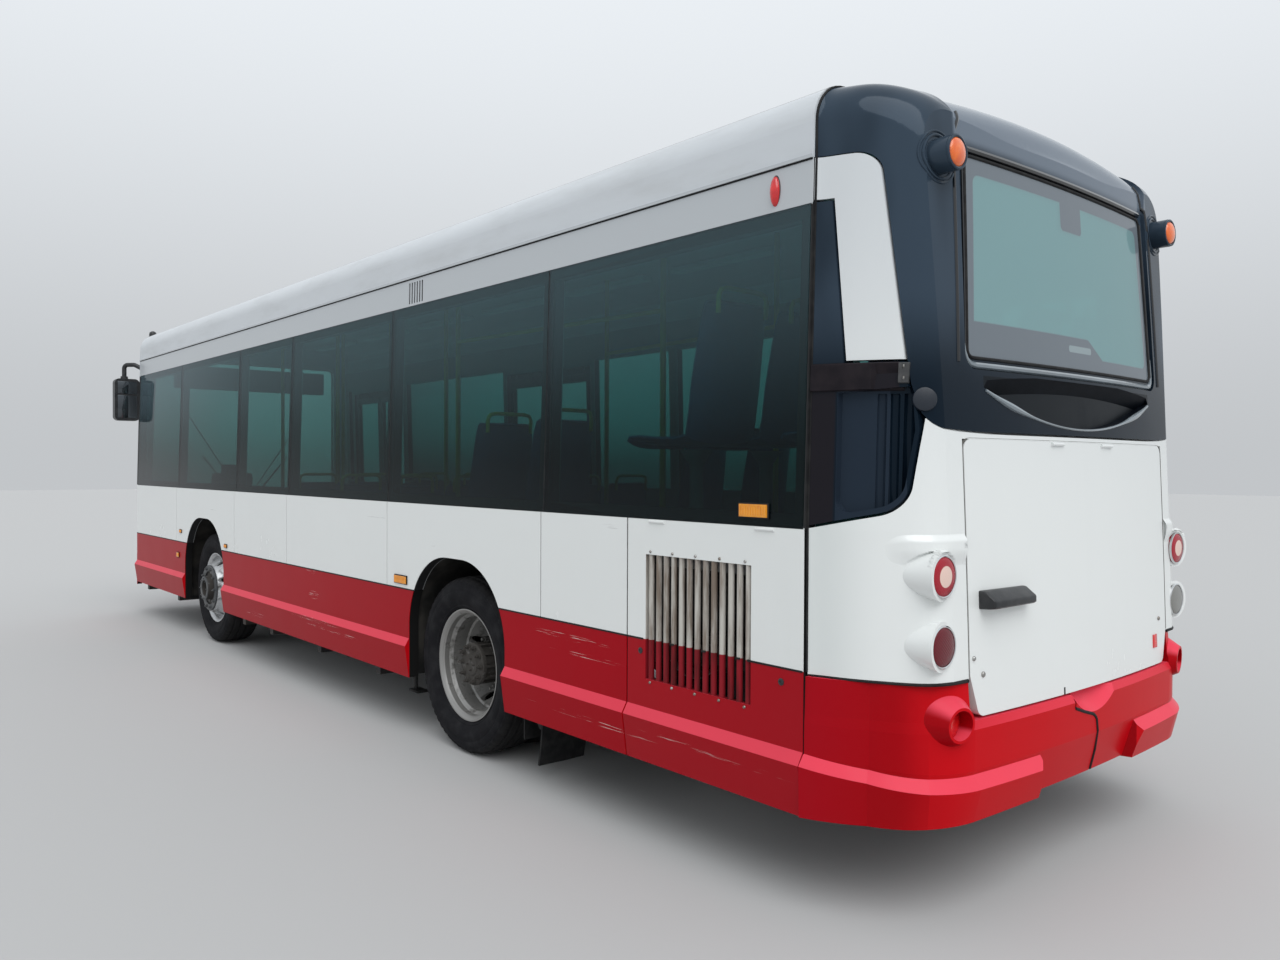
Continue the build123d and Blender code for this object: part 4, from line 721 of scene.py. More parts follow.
def mesh_from(name, builder):
    """Mesh made by a function that fills a bmesh; its faces are turned outwards."""
    shape = bmesh.new()
    builder(shape)
    bmesh.ops.remove_doubles(shape, verts=shape.verts, dist=1e-5)
    bmesh.ops.recalc_face_normals(shape, faces=shape.faces)
    mesh = bpy.data.meshes.new(name)
    shape.to_mesh(mesh)
    shape.free()
    return mesh


def piece(name, builder, finish, body=BODY, smooth=35):
    """Build a mesh and put it in the scene."""
    return add_piece(name, mesh_from(name, builder), finish, body, smooth)


def both_sides(draw):
    """Turns a form that is drawn for one side into a builder for the left (1) and the right (-1)."""
    def builder(shape):
        for way in (1, -1):
            draw(shape, way)
    return builder


def skin(shape, rows):
    """Faces between each ring of points and the next."""
    for one, two in zip(rows, rows[1:]):
        for s in range(len(one)):
            following = (s + 1) % len(one)
            shape.faces.new((one[s], one[following], two[following], two[s]))


def loft(shape, rows):
    """A skin over rings of points, closed at both ends."""
    skin(shape, rows)
    shape.faces.new(rows[0][::-1])
    shape.faces.new(rows[-1])


def rounded_box(shape, low, high, radius, segments=2):
    """A box between two corners with rounded edges."""
    made = bmesh.ops.create_cube(shape, size=1.0)["verts"]
    size = [b - a for a, b in zip(low, high)]
    mid = [(a + b) / 2 for a, b in zip(low, high)]
    for vert in made:
        vert.co = Vector([m + c * s for m, c, s in zip(mid, vert.co, size)])
    edges = list({edge for vert in made for edge in vert.link_edges})
    if radius:
        bmesh.ops.bevel(shape, geom=edges, offset=radius, segments=segments, affect="EDGES", profile=0.5)


def tube(shape, points, radius, sides=10):
    """A round tube along points, closed at both ends."""
    points = [Vector(p) for p in points]
    rings = []
    for number, point in enumerate(points):
        before, after = points[max(number - 1, 0)], points[min(number + 1, len(points) - 1)]
        along = (after - before).normalized()
        side = along.orthogonal() if number == 0 else rings_side - along * rings_side.dot(along)
        rings_side = side.normalized()
        other = along.cross(rings_side)
        reach = radius[number] if isinstance(radius, list) else radius
        rings.append([shape.verts.new(point + (rings_side * math.cos(a) + other * math.sin(a)) * reach)
                      for a in (2 * math.pi * s / sides for s in range(sides))])
    loft(shape, rings)


def side_box(shape, way, low, high, radius):
    """A rounded box given for the left side, and mirrored to the right where way is -1."""
    y0, y1 = sorted((way * low[1], way * high[1]))
    rounded_box(shape, (low[0], y0, low[2]), (high[0], y1, high[2]), radius)


# %% [markdown]
# ## Geometry Nodes for what repeats
#
# One tree sets copies of a small turned form round a circle, and one sets them along a line. The
# copies are made real, painted and turned into a plain mesh.

# %% Rings and rows of small parts
def new_tree(name, sizes):
    """A geometry tree with named inputs; sizes maps each name to its socket kind."""
    tree = bpy.data.node_groups.new(name, "GeometryNodeTree")
    for label, kind in sizes.items():
        tree.interface.new_socket(name=label, in_out="INPUT", socket_type=kind)
    tree.interface.new_socket(name="Geometry", in_out="OUTPUT", socket_type="NodeSocketGeometry")
    return tree, Graph(tree)


def end_tree(g, copies, material):
    real = g.node("GeometryNodeRealizeInstances", {}, {0: copies})
    painted = g.node("GeometryNodeSetMaterial", {}, {"Geometry": real, "Material": material})
    g.node("NodeGroupOutput", {}, {"Geometry": painted})


def cone(g, size, sides, top, bottom, depth):
    """A cone whose radii are shares of one size."""
    return g.node("GeometryNodeMeshCone", {}, {"Vertices": sides, "Radius Top": size * top,
                                               "Radius Bottom": size * bottom, "Depth": depth})


def build_ring_tree():
    """Copies of a hexagon nut on its washer, set round a circle that faces along Y."""
    tree, g = new_tree("ring_of_nuts", {"Count": "NodeSocketInt", "Circle": "NodeSocketFloat",
                                        "Width": "NodeSocketFloat", "Height": "NodeSocketFloat",
                                        "Centre": "NodeSocketVector", "Turn": "NodeSocketVector",
                                        "Material": "NodeSocketMaterial"})
    given = g.node("NodeGroupInput")
    circle = g.node("GeometryNodeMeshCircle", {}, {"Vertices": given.port("Count"),
                                                   "Radius": given.port("Circle")})
    width, height = given.port("Width"), given.port("Height")
    nut = cone(g, width, 6, 0.46, 0.50, height)
    washer = cone(g, width, 12, 0.62, 0.68, height * 0.22)
    stud = cone(g, width, 8, 0.24, 0.27, height * 1.5)
    both = g.node("GeometryNodeJoinGeometry", {}, {0: nut})
    g.tree.links.new(washer.socket, both.socket.node.inputs[0])
    g.tree.links.new(stud.socket, both.socket.node.inputs[0])
    copies = g.node("GeometryNodeInstanceOnPoints", {}, {"Points": circle, "Instance": both})
    turned = g.node("GeometryNodeTransform", {}, {"Geometry": copies, "Rotation": given.port("Turn"),
                                                  "Translation": given.port("Centre")})
    end_tree(g, turned, given.port("Material"))
    return tree


def build_row_tree():
    """Small domed bolt heads in a straight row from one point by equal steps."""
    tree, g = new_tree("row_of_bolts", {"Count": "NodeSocketInt", "Start": "NodeSocketVector",
                                        "Step": "NodeSocketVector", "Size": "NodeSocketFloat",
                                        "Turn": "NodeSocketVector", "Material": "NodeSocketMaterial"})
    given = g.node("NodeGroupInput")
    line = g.node("GeometryNodeMeshLine", {"mode": "OFFSET"}, {"Count": given.port("Count"),
                                                               "Start Location": given.port("Start"),
                                                               "Offset": given.port("Step")})
    head = cone(g, given.port("Size"), 10, 0.32, 0.50, given.port("Size") * 0.3)
    turned = g.node("GeometryNodeTransform", {}, {"Geometry": head, "Rotation": given.port("Turn")})
    copies = g.node("GeometryNodeInstanceOnPoints", {}, {"Points": line, "Instance": turned})
    end_tree(g, copies, given.port("Material"))
    return tree


RING_TREE = build_ring_tree()
ROW_TREE = build_row_tree()


def grown(name, tree, sizes, finish, body):
    """Run a tree with these sizes and keep the result as a plain mesh piece."""
    carrier = bpy.data.objects.new(name + "_carrier", bpy.data.meshes.new(name + "_carrier"))
    bpy.context.scene.collection.objects.link(carrier)
    modifier = carrier.modifiers.new("grow", "NODES")
    modifier.node_group = tree
    sizes = dict(sizes, Material=finish)
    for item in tree.interface.items_tree:
        if item.in_out == "INPUT":
            modifier[item.identifier] = sizes[item.name]
    view = bpy.context.evaluated_depsgraph_get()
    view.update()
    mesh = bpy.data.meshes.new_from_object(carrier.evaluated_get(view), depsgraph=view)
    mesh.name = name
    bpy.data.objects.remove(carrier)
    return add_piece(name, mesh, finish, body)


# %% [markdown]
# ## Tyres
#
# A bus tyre is a ring of rubber with a ribbed wall, a bead that grips the rim and a tread cut by grooves
# round it, with short notches across the shoulders. A lathe makes all but the notches. Every third
# step of the lathe is drawn in a little at the shoulder rings, which cuts sixty notches a side.
# Each tyre replaces its CAD ring and rides on its own wheel.

# %% Tyre shape
TYRE_WALL = (
    (0.290, 0.094), (0.302, 0.104), (0.311, 0.113), (0.314, 0.1165), (0.319, 0.1160), (0.334, 0.1255),
    (0.352, 0.1330), (0.371, 0.1368), (0.3745, 0.1372), (0.378, 0.1366), (0.396, 0.1368),
    (0.3985, 0.1352), (0.401, 0.1362), (0.420, 0.1340), (0.436, 0.1295), (0.438, 0.1272),
    (0.447, 0.1262), (0.458, 0.1150), (0.4640, 0.1035), (0.4665, 0.088), (0.4575, 0.084),
    (0.4575, 0.075), (0.4685, 0.071), (0.4692, 0.036), (0.4590, 0.032), (0.4590, 0.023), (0.4698, 0.019),
)
SHOULDER_RINGS = (16, 17, 18, 19)
TYRE_STEPS = 180
NOTCH = 0.006


def turned(shape, profile, centre, axis="Y", steps=48, notch=None):
    """Turn a profile of (radius, distance along the axis) round an axis through the centre."""
    rings = []
    for number, (radius, along) in enumerate(profile):
        ring = []
        for step in range(steps):
            reach = radius - (notch(number, step) if notch else 0)
            angle = 2 * math.pi * step / steps
            one, two = reach * math.cos(angle), reach * math.sin(angle)
            offset = {"X": (along, one, two), "Y": (one, along, two), "Z": (one, two, along)}[axis]
            ring.append(shape.verts.new(Vector(centre) + Vector(offset)))
        rings.append(ring)
    radii = [radius for radius, along in profile]
    pairs = zip(rings, rings[1:] + rings[:1], radii, radii[1:] + radii[:1])
    for one, two, first, second in pairs:
        if first + second > 0:
            skin(shape, (one, two))


def shoulder_notch(number, step):
    rings = 2 * len(TYRE_WALL)
    on_shoulder = number in SHOULDER_RINGS or rings - 1 - number in SHOULDER_RINGS
    return NOTCH if on_shoulder and step % 3 == 0 else 0


def tyre(shape, centre):
    outline = list(TYRE_WALL) + [(radius, -y) for radius, y in reversed(TYRE_WALL)]
    turned(shape, outline, centre, steps=TYRE_STEPS, notch=shoulder_notch)


# %% Tyres on their wheels
TWIN_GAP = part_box("rear_tyres_left")[1].y - TWIN_Y - 0.1375
for side, way in SIDES:
    twins = mesh_from(f"rear_tyre_pair_{side}", lambda shape: [
        tyre(shape, (REAR_X, way * TWIN_Y + offset, TYRE_R)) for offset in (-TWIN_GAP, TWIN_GAP)])
    pair = add_piece(f"rear_tyre_pair_{side}", twins, TYRE["rear"], f"rear_wheels_{side}")
    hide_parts(f"rear_tyres_{side}")
    single = mesh_from(f"front_tyre_ring_{side}",
                       lambda shape: tyre(shape, (FRONT_X, way * FRONT_HUB_Y, TYRE_R)))
    one = add_piece(f"front_tyre_ring_{side}", single, TYRE["front"], f"front_wheel_{side}")
    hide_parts(f"front_tyre_{side}")
    print(side, len(twins.polygons), "faces on the twins")

# %% [markdown]
# ## Wheel nuts and guards
#
# Ten nuts hold each wheel to its hub. On the rear the hub's ribbed drum stands out through the deep dish
# and ends in a cap with its own ring of bolts. On the front a pressed ring guards the nuts. The ring tree
# sets each circle of nuts from its count, circle and size.

# %% Nuts, studs and valve stems
CAP_FACE = TWIN_Y + 0.233
HUB_GREY = grained("hub_grey", rgb(0.075, 0.080, 0.085), rgb(0.12, 0.12, 0.12), 0.5, 120, metal=0.3)
RINGS = (
    # name, axle x, distance of the ring from the bus's middle, count, circle, width, height
    ("rear_wheel_nuts", REAR_X, TWIN_Y + 0.030, 10, 0.168, 0.034, 0.040),
    ("rear_hub_bolts", REAR_X, CAP_FACE + 0.001, 10, 0.094, 0.024, 0.020),
    ("rear_cap_screws", REAR_X, CAP_FACE + 0.006, 4, 0.030, 0.010, 0.008),
    ("front_wheel_nuts", FRONT_X, FRONT_HUB_Y + 0.162, 10, 0.168, 0.030, 0.018),
    ("front_hub_bolts", FRONT_X, FRONT_HUB_Y + 0.207, 8, 0.085, 0.014, 0.010),
)
for side, way in SIDES:
    for name, axle, reach, count, circle, width, height in RINGS:
        rear = axle == REAR_X
        grown(f"{name}_{side}", RING_TREE,
              {"Count": count, "Circle": circle, "Width": width, "Height": height,
               "Centre": (axle, way * reach, TYRE_R), "Turn": (-way * math.pi / 2, 0, 0)},
              RIM["rear"] if rear else HUB_GREY,
              f"rear_wheels_{side}" if rear else f"front_wheel_{side}")

NUT_GUARD = ((0.196, 0.1555), (0.196, 0.166), (0.191, 0.170), (0.148, 0.170), (0.143, 0.166),
             (0.143, 0.1555))
HUB_LIP = ((0.101, 0.203), (0.101, 0.209), (0.094, 0.2115), (0.075, 0.2115), (0.069, 0.207),
           (0.069, 0.203))
VALVE = ((0.236, 0.060), (0.240, 0.095), (0.247, 0.130), (0.252, 0.165))
for side, way in SIDES:
    def guard(shape):
        for outline in (NUT_GUARD, HUB_LIP):
            turned(shape, [(radius, way * along) for radius, along in outline],
                   (FRONT_X, way * FRONT_HUB_Y, TYRE_R), steps=60)

    piece(f"front_nut_guard_{side}", guard, HUB_GREY, body=f"front_wheel_{side}")
    stem = mesh_from(f"valve_stem_{side}", lambda shape: tube(
        shape, [(REAR_X + radius, way * (TWIN_Y + along), TYRE_R + 0.03) for radius, along in VALVE],
        0.004, 8))
    add_piece(f"valve_stem_{side}", stem, CHROME, f"rear_wheels_{side}")
print("rings of nuts on", 2 * len(RINGS), "circles")

# %% [markdown]
# ## Rubbers and rails along the side
#
# The panes are bonded, with black sealant in the gaps between them. A gutter runs along the roof joint,
# and the tail and the nose meet the side in open joints closed by a black rubber. The straight ones are
# thin bars between two points, and those of the joints are tubes bent over the roof.

# %% Bars that follow the leaning side
def side_y(z):
    """Half width of the flat side at height z."""
    if z <= SILL:
        return HALF
    return HALF - min(DRIP_LEAN, GLASS_LEAN * (z - SILL) / (GLASS_TOP - SILL))


def bar(shape, start, end, wide, deep):
    """A bar between two points: wide along the bus or upwards, deep across the bus."""
    start, end = Vector(start), Vector(end)
    along = (end - start).normalized()
    across_bus = Vector((0, 1, 0))
    second = along.cross(across_bus).normalized() * wide / 2
    first = second.cross(along).normalized() * deep / 2
    corners = []
    for point in (start, end):
        corners.append([shape.verts.new(point + first * a + second * b)
                        for a, b in ((-1, -1), (1, -1), (1, 1), (-1, 1))])
    loft(shape, corners)


PANES = {1: (0.0, 1.56, 3.15, 4.70, 5.80, 7.38, 8.84),
         -1: (0.0, 1.56, 3.15, 4.145, 5.395, 7.385, 8.635, 8.84)}
GLASS_RUNS = {1: ((0.0, 8.84),), -1: ((0.0, 4.145), (5.395, 7.385), (8.635, 8.84))}
SUNK = 0.0035


def window_rubbers(shape):
    for way, divisions in PANES.items():
        for x in divisions:
            bar(shape, (SEAM + x, way * (side_y(SILL) - SUNK), SILL),
                (SEAM + x, way * (side_y(GLASS_TOP) - SUNK), GLASS_TOP), 0.010, 0.006)
        for z in (SILL + 0.005, GLASS_TOP):
            y = way * (side_y(z) - SUNK)
            for x0, x1 in GLASS_RUNS[way]:
                bar(shape, (SEAM + x0, y, z), (SEAM + x1, y, z), 0.008, 0.006)


@both_sides
def gutters(shape, way):
    y = way * (HALF - DRIP_LEAN + 0.003)
    bar(shape, (SEAM + 0.002, y, DRIP + 0.004), (SIDE_END, y, DRIP + 0.004), 0.012, 0.010)


# Painted shadow: a thin black bar just under each gutter.
@both_sides
def gutter_shadow(shape, way):
    y = way * (HALF - DRIP_LEAN + 0.0005)
    bar(shape, (SEAM + 0.002, y, DRIP - 0.005), (SIDE_END, y, DRIP - 0.005), 0.006, 0.005)


SHOULDER_R, CROWN_RISE = 0.150, 0.060


def section_path(x, inset, low):
    """Points round the body's section at one x, from one skirt over the roof to the other."""
    centre = HALF - DRIP_LEAN - inset - SHOULDER_R
    spring = CROWN - CROWN_RISE - SHOULDER_R
    left = [(HALF - inset, low), (HALF - inset, SILL), (HALF - DRIP_LEAN - inset, DRIP)]
    left += [(centre + SHOULDER_R * math.cos(a), spring + SHOULDER_R * math.sin(a))
             for a in (math.radians(10 * s) for s in range(0, 9))]
    rise = [(centre * (1 - s / 6), CROWN - CROWN_RISE * (1 - s / 6) ** 2) for s in range(1, 6)]
    half = left + rise
    points = half + [(0.0, CROWN)] + [(-y, z) for y, z in reversed(half)]
    return [(x, y, z) for y, z in points]


def seam_rubbers(shape):
    tube(shape, section_path(SEAM - 0.0035, 0.013, STRIPE), 0.0045, 8)
    tube(shape, section_path(SIDE_END + 0.001, 0.007, STRIPE), 0.005, 8)


piece("window_rubbers", window_rubbers, RUBBER, smooth=0)
piece("roof_gutters", gutters, WHITE, smooth=0)
piece("gutter_shadow_bars", gutter_shadow, RUBBER, smooth=0)
piece("seam_rubbers", seam_rubbers, RUBBER)
print("rubbers on", sum(len(divisions) for divisions in PANES.values()), "pane edges")

# %% [markdown]
# ## Finding the moulded tail's surface
#
# The tail is curved in every direction, so trim is laid on it by casting rays at the CAD mesh. A tree of
# its triangles answers where a ray first meets a panel. A Shrinkwrap modifier could pull trim onto the
# panel too, but a ray also tells where there is no panel, such as in a joint or a wheel arch.

# %% Rays against CAD panels
from mathutils.bvhtree import BVHTree


def surface_of(*names):
    points, faces = [], []
    for name in names:
        mesh = nodes[name].data
        start = len(points)
        points += [vertex.co.copy() for vertex in mesh.vertices]
        faces += [[start + number for number in polygon.vertices] for polygon in mesh.polygons]
    return BVHTree.FromPolygons(points, faces)


def cast(surface, way, y, z):
    """Where a ray along the bus meets a panel: way is -1 from behind and 1 from ahead."""
    return surface.ray_cast(Vector((way * 8, y, z)), Vector((-way, 0, 0)))[:2]


def beside(surface, x, z, way):
    """Where a ray from beside the bus meets a panel."""
    return surface.ray_cast(Vector((x, way * 3, z)), Vector((0, -way, 0)))[0]


def stretches(surface, z, way, step=0.02):
    """Lengths of the side where the outer skin is really there, such as between two arches."""
    found, start, x = [], None, SEAM + 0.003
    while x < SIDE_END:
        place = beside(surface, x, z, way)
        solid = place is not None and abs(place.y) > HALF - 0.012
        if solid and start is None:
            start = x
        if start is not None and not solid:
            found.append((start, x - step))
            start = None
        x += step
    if start is not None:
        found.append((start, SIDE_END - 0.003))
    return found


side_surface = surface_of("side_wall_left", "side_wall_right", "skirts", "engine_flap")


# A black bar along the stripe line: the joint over the skirts, and painted shadow along it.
@both_sides
def stripe_joint_and_shadow(shape, way):
    for start, end in stretches(side_surface, STRIPE + 0.012, way):
        bar(shape, (start, way * (HALF - 0.0015), STRIPE - 0.001),
            (end, way * (HALF - 0.0015), STRIPE - 0.001), 0.007, 0.006)


piece("stripe_joint_and_shadow", stripe_joint_and_shadow, RUBBER, smooth=0)
print("stripe joint in", [len(stretches(side_surface, STRIPE + 0.012, way)) for way in (1, -1)],
      "lengths")

tail_surface = surface_of("rear_mask", "rear_window")
hatch_surface = surface_of("rear_hatch")
bumper_surface = surface_of("rear_bumper")


def bead(shape, surface, way, path, radius, lift=0.0, sides=8):
    """A round bead laid on a panel along a path of (y, z)."""
    points = []
    for y, z in path:
        place, normal = cast(surface, way, y, z)
        if place is not None:
            points.append(place + normal * lift)
    tube(shape, points, radius, sides)


def round_path(y, z, radius, steps=40):
    return [(y + radius * math.cos(a), z + radius * math.sin(a))
            for a in (2 * math.pi * s / steps for s in range(steps))]


# %% [markdown]
# ## Rear window moulding
#
# The pane sits in a rubber that follows its outline, corner by corner. A curve with a round bevel would
# give the same form in a flat plane; here each point is cast onto the moulding first.

# %% Window rubber
def corner_path(corners, radius, steps=6):
    """A path round corners of (y, z), each rounded by a quadratic turn."""
    path = []
    count = len(corners)
    for number, corner in enumerate(corners):
        here = Vector(corner)
        before = (Vector(corners[number - 1]) - here).normalized() * radius
        after = (Vector(corners[(number + 1) % count]) - here).normalized() * radius
        start, end = here + before, here + after
        for step in range(steps + 1):
            t = step / steps
            point = start * (1 - t) ** 2 + here * 2 * t * (1 - t) + end * t ** 2
            path.append((point.x, point.y))
        length = (Vector(corners[(number + 1) % count]) - here).length - 2 * radius
        onward = after.normalized()
        for step in range(1, int(length / 0.08)):
            point = end + onward * step * 0.08
            path.append((point.x, point.y))
    return path


WINDOW_LOW, WINDOW_HIGH = pane_low.z, pane_high.z
PANE_TOP_HALF, PANE_LOW_HALF = 0.694, 0.731
pane_corners = [(-PANE_LOW_HALF, WINDOW_LOW), (PANE_LOW_HALF, WINDOW_LOW),
                (PANE_TOP_HALF, WINDOW_HIGH), (-PANE_TOP_HALF, WINDOW_HIGH)]
rubber_path = corner_path([(y * 1.002, z) for y, z in pane_corners], 0.035)
piece("rear_window_rubber", lambda shape: bead(
    shape, tail_surface, -1, rubber_path + rubber_path[:1], 0.0065, 0.0005), RUBBER)
print("window rubber of", len(rubber_path), "points")

# %% [markdown]
# ## Lamps on the tail
#
# Each round lamp has a domed lens in a thin gasket. The high amber lamps stand on stub housings that
# meet the moulding in a raised flange, found by casting a ring of rays. The fog reflectors lie at
# the bottom of the bumper's two recesses. A squashed sphere would do for a lens, but a turned profile
# gives the dome, the rim and a flat back in one closed form.

# %% Lens domes, gaskets and flanges
LAMP_FACE = SEAM - 0.392
HIGH_Y, HIGH_Z, HIGH_R = 0.855, CROWN - 0.349, 0.050
HIGH_FACE = SEAM - 0.377
FOG_Y, FOG_Z, FOG_R = 0.880, 0.684, 0.049
FOG_BACK = SEAM - 0.390


def dome(radius, rise, steps=6):
    """Profile of a lens: a domed face towards the rear and a flat back."""
    curve = [(radius * math.sin(math.pi / 2 * s / steps), -rise * math.cos(math.pi / 2 * s / steps))
             for s in range(1, steps + 1)]
    return [(0.0, -rise)] + curve + [(radius, 0.004), (0.0, 0.004)]


def gasket(radius, width, proud):
    return [(radius, 0.002), (radius, -proud), (radius + width * 0.5, -proud - 0.002),
            (radius + width, -proud), (radius + width, 0.004)]


@both_sides
def lamp_domes(shape, way):
    for z in LAMP_HEIGHTS:
        turned(shape, dome(LAMP_R - 0.0015, 0.010), (LAMP_FACE, way * LAMP_Y, z), "X", 48)


@both_sides
def lamp_gaskets(shape, way):
    for z in LAMP_HEIGHTS:
        turned(shape, gasket(LAMP_R - 0.001, 0.0065, 0.003), (LAMP_FACE, way * LAMP_Y, z), "X", 48)


@both_sides
def high_domes(shape, way):
    turned(shape, dome(HIGH_R - 0.002, 0.016), (HIGH_FACE, way * HIGH_Y, HIGH_Z), "X", 40)


@both_sides
def high_gaskets(shape, way):
    turned(shape, gasket(HIGH_R - 0.0015, 0.010, 0.004), (HIGH_FACE, way * HIGH_Y, HIGH_Z), "X", 40)
    for radius, bead_radius in ((0.074, 0.006), (0.088, 0.0045)):
        points = []
        for y, z in round_path(way * HIGH_Y, HIGH_Z, radius, 48):
            place = cast(tail_surface, -1, y, z)[0]
            if place is not None and place.x > HIGH_FACE + 0.004:
                points.append(place)
        points.append(points[0])
        tube(shape, points, bead_radius, 8)


@both_sides
def fog_lenses(shape, way):
    turned(shape, dome(FOG_R - 0.006, 0.008), (FOG_BACK - 0.002, way * FOG_Y, FOG_Z), "X", 36)


FOG_LENS = finish_of("fog_reflector", lens_of(rgb(0.75, 0.01, 0.01), rgb(0.55, 0.005, 0.008)))
piece("tail_lamp_domes", lamp_domes, TAIL_LENS)
piece("tail_lamp_gaskets", lamp_gaskets, CHROME)
piece("high_lamp_domes", high_domes, AMBER)
piece("high_lamp_gaskets", high_gaskets, MASK)
piece("fog_reflectors", fog_lenses, FOG_LENS)

# %% [markdown]
# ## Markers on the side
#
# Each amber marker is a small ribbed lens on a black base. The ribs could be a bump pattern; they are
# real bars, because their edges catch the light. High at the rear is a tall oval red one, a stretched
# dome on a thin black base.

# %% Marker bases and the red oval
def oval(shape, centre, wide, tall, proud, way):
    """A domed oval that stands out of the side."""
    steps, rings = 24, 5
    rows = []
    for ring in range(rings):
        angle = math.pi / 2 * ring / rings
        reach, out = math.cos(angle), math.sin(angle)
        rows.append([shape.verts.new((centre[0] + wide / 2 * reach * math.cos(a),
                                      centre[1] + way * proud * out,
                                      centre[2] + tall / 2 * reach * math.sin(a)))
                     for a in (2 * math.pi * s / steps for s in range(steps))])
    loft(shape, rows)


AMBERS = ((0.166, 0.301, 1.353, 1.399), (2.908, 3.051, 0.859, 0.901), (6.030, 6.085, 0.860, 0.884),
          (7.284, 7.339, 0.915, 0.939), (7.361, 7.421, 0.688, 0.728))
OVAL = (0.170, 2.512, 0.052, 0.122)
FRONT_DOORWAY = 7.3


def marker_places():
    """The amber markers of both sides; on the right the front doorway takes the place of the last."""
    return [(way, *marker) for marker in AMBERS for way in (1, -1) if way > 0 or marker[0] <= FRONT_DOORWAY]


def marker_bases(shape):
    for way, x0, x1, z0, z1 in marker_places():
        y = side_y(z0) + 0.001
        side_box(shape, way, (SEAM + x0 - 0.006, y, z0 - 0.005),
                 (SEAM + x1 + 0.006, y + 0.005, z1 + 0.005), 0.0018)


def marker_ribs(shape):
    """Moulded ribs on each amber lens."""
    for way, x0, x1, z0, z1 in marker_places():
        y = way * (side_y(z0) + 0.0103)
        count = max(3, int((x1 - x0) / 0.012))
        for number in range(count):
            x = SEAM + x0 + (x1 - x0) * (number + 0.5) / count
            bar(shape, (x, y, z0 + 0.004), (x, y, z1 - 0.004), 0.005, 0.003)


@both_sides
def red_ovals(shape, way):
    x, z, wide, tall = OVAL
    oval(shape, (SEAM + x, way * (side_y(z) + 0.002), z), wide * 0.8, tall * 0.88, 0.018, way)


@both_sides
def oval_bases(shape, way):
    x, z, wide, tall = OVAL
    oval(shape, (SEAM + x, way * (side_y(z) - 0.003), z), wide, tall, 0.010, way)


piece("marker_bases", marker_bases, RUBBER)
piece("marker_ribs", marker_ribs, YELLOW_AMBER, smooth=0)
piece("red_markers", red_ovals, FOG_LENS)
piece("red_marker_bases", oval_bases, BLACK)

# %% [markdown]
# ## Slabs that follow a panel
#
# Reflectors and plates bend with the panel they are glued to. A slab is a grid of points cast onto the
# panel, given a thickness and closed round its edge. A bead along a path is cast in the same way.

# %% Slabs on curved panels
def closed_sheet(shape, top, under, columns, rows):
    """Faces over a grid of upper points, under the same grid below it and round the rim of both."""
    wide = columns + 1
    for row in range(rows):
        for column in range(columns):
            a, b = row * wide + column, row * wide + column + 1
            shape.faces.new((top[a], top[b], top[b + wide], top[a + wide]))
            shape.faces.new((under[a], under[a + wide], under[b + wide], under[b]))
    rim = [(column, column + 1) for column in range(columns)]
    rim += [(row * wide + columns, (row + 1) * wide + columns) for row in range(rows)]
    rim += [(rows * wide + column + 1, rows * wide + column) for column in range(columns)]
    rim += [((row + 1) * wide, row * wide) for row in range(rows)]
    for a, b in rim:
        shape.faces.new((top[a], top[b], under[b], under[a]))


def slab(shape, surface, way, y0, y1, z0, z1, thick, steps=8):
    top, under = [], []
    for row in range(steps + 1):
        for column in range(steps + 1):
            y, z = y0 + (y1 - y0) * column / steps, z0 + (z1 - z0) * row / steps
            place, normal = cast(surface, way, y, z)
            rim = row in (0, steps) or column in (0, steps)
            top.append(shape.verts.new(place + normal * thick * (0.55 if rim else 1.0)))
            under.append(shape.verts.new(place - normal * 0.002))
    closed_sheet(shape, top, under, steps, steps)


def even(start, end, count):
    """Evenly spaced points of a straight path."""
    return [(start[0] + (end[0] - start[0]) * s / count, start[1] + (end[1] - start[1]) * s / count)
            for s in range(count + 1)]


# %% [markdown]
# ## The scoop's lip and the window's mouldings
#
# Under the rear window the moulding dips into a long smiling scoop. Its lower lip and the sill under the
# pane are beads in a pale grey gloss, a painted highlight for the bright line where they catch the sky. A
# black gutter runs over the pane. All are beads whose width may change from point to point, so that an end
# can fade out as a moulded edge does.

# %% Lips, sill and gutter on the mask
def smile_z(y):
    return SMILE_LOW + SMILE_R - math.sqrt(SMILE_R ** 2 - y * y)


def gloss_black(tone):
    deeper = tuple(part * 0.6 for part in tone[:3]) + (1.0,)
    return lambda g: {"Base Color": g.blend(g.ease(g.noise(g.place(), 3.0), 0.3, 0.8), tone, deeper),
                      "Roughness": 0.12, "Coat Weight": 0.6, "Coat Roughness": 0.04}


# Painted highlight: the lip and the sill are a pale blue-grey gloss for the sky they catch.
LIP_HIGHLIGHT = finish_of("painted_lip_highlight", gloss_black(rgb(0.22, 0.26, 0.29)))
GLOSS_BLACK = finish_of("gloss_black_trim", gloss_black(rgb(0.006, 0.007, 0.009)))
SILL_Z = WINDOW_LOW - 0.026


def smile_lip(shape):
    spots = [SMILE_HALF * 0.985 * s / 30 for s in range(-30, 31)]
    widths = [0.0045 + 0.0075 * math.exp(-((abs(y) - 0.50) / 0.10) ** 2) for y in spots]
    bead(shape, tail_surface, -1, [(y, smile_z(y) - 0.006) for y in spots], widths, 0.001)


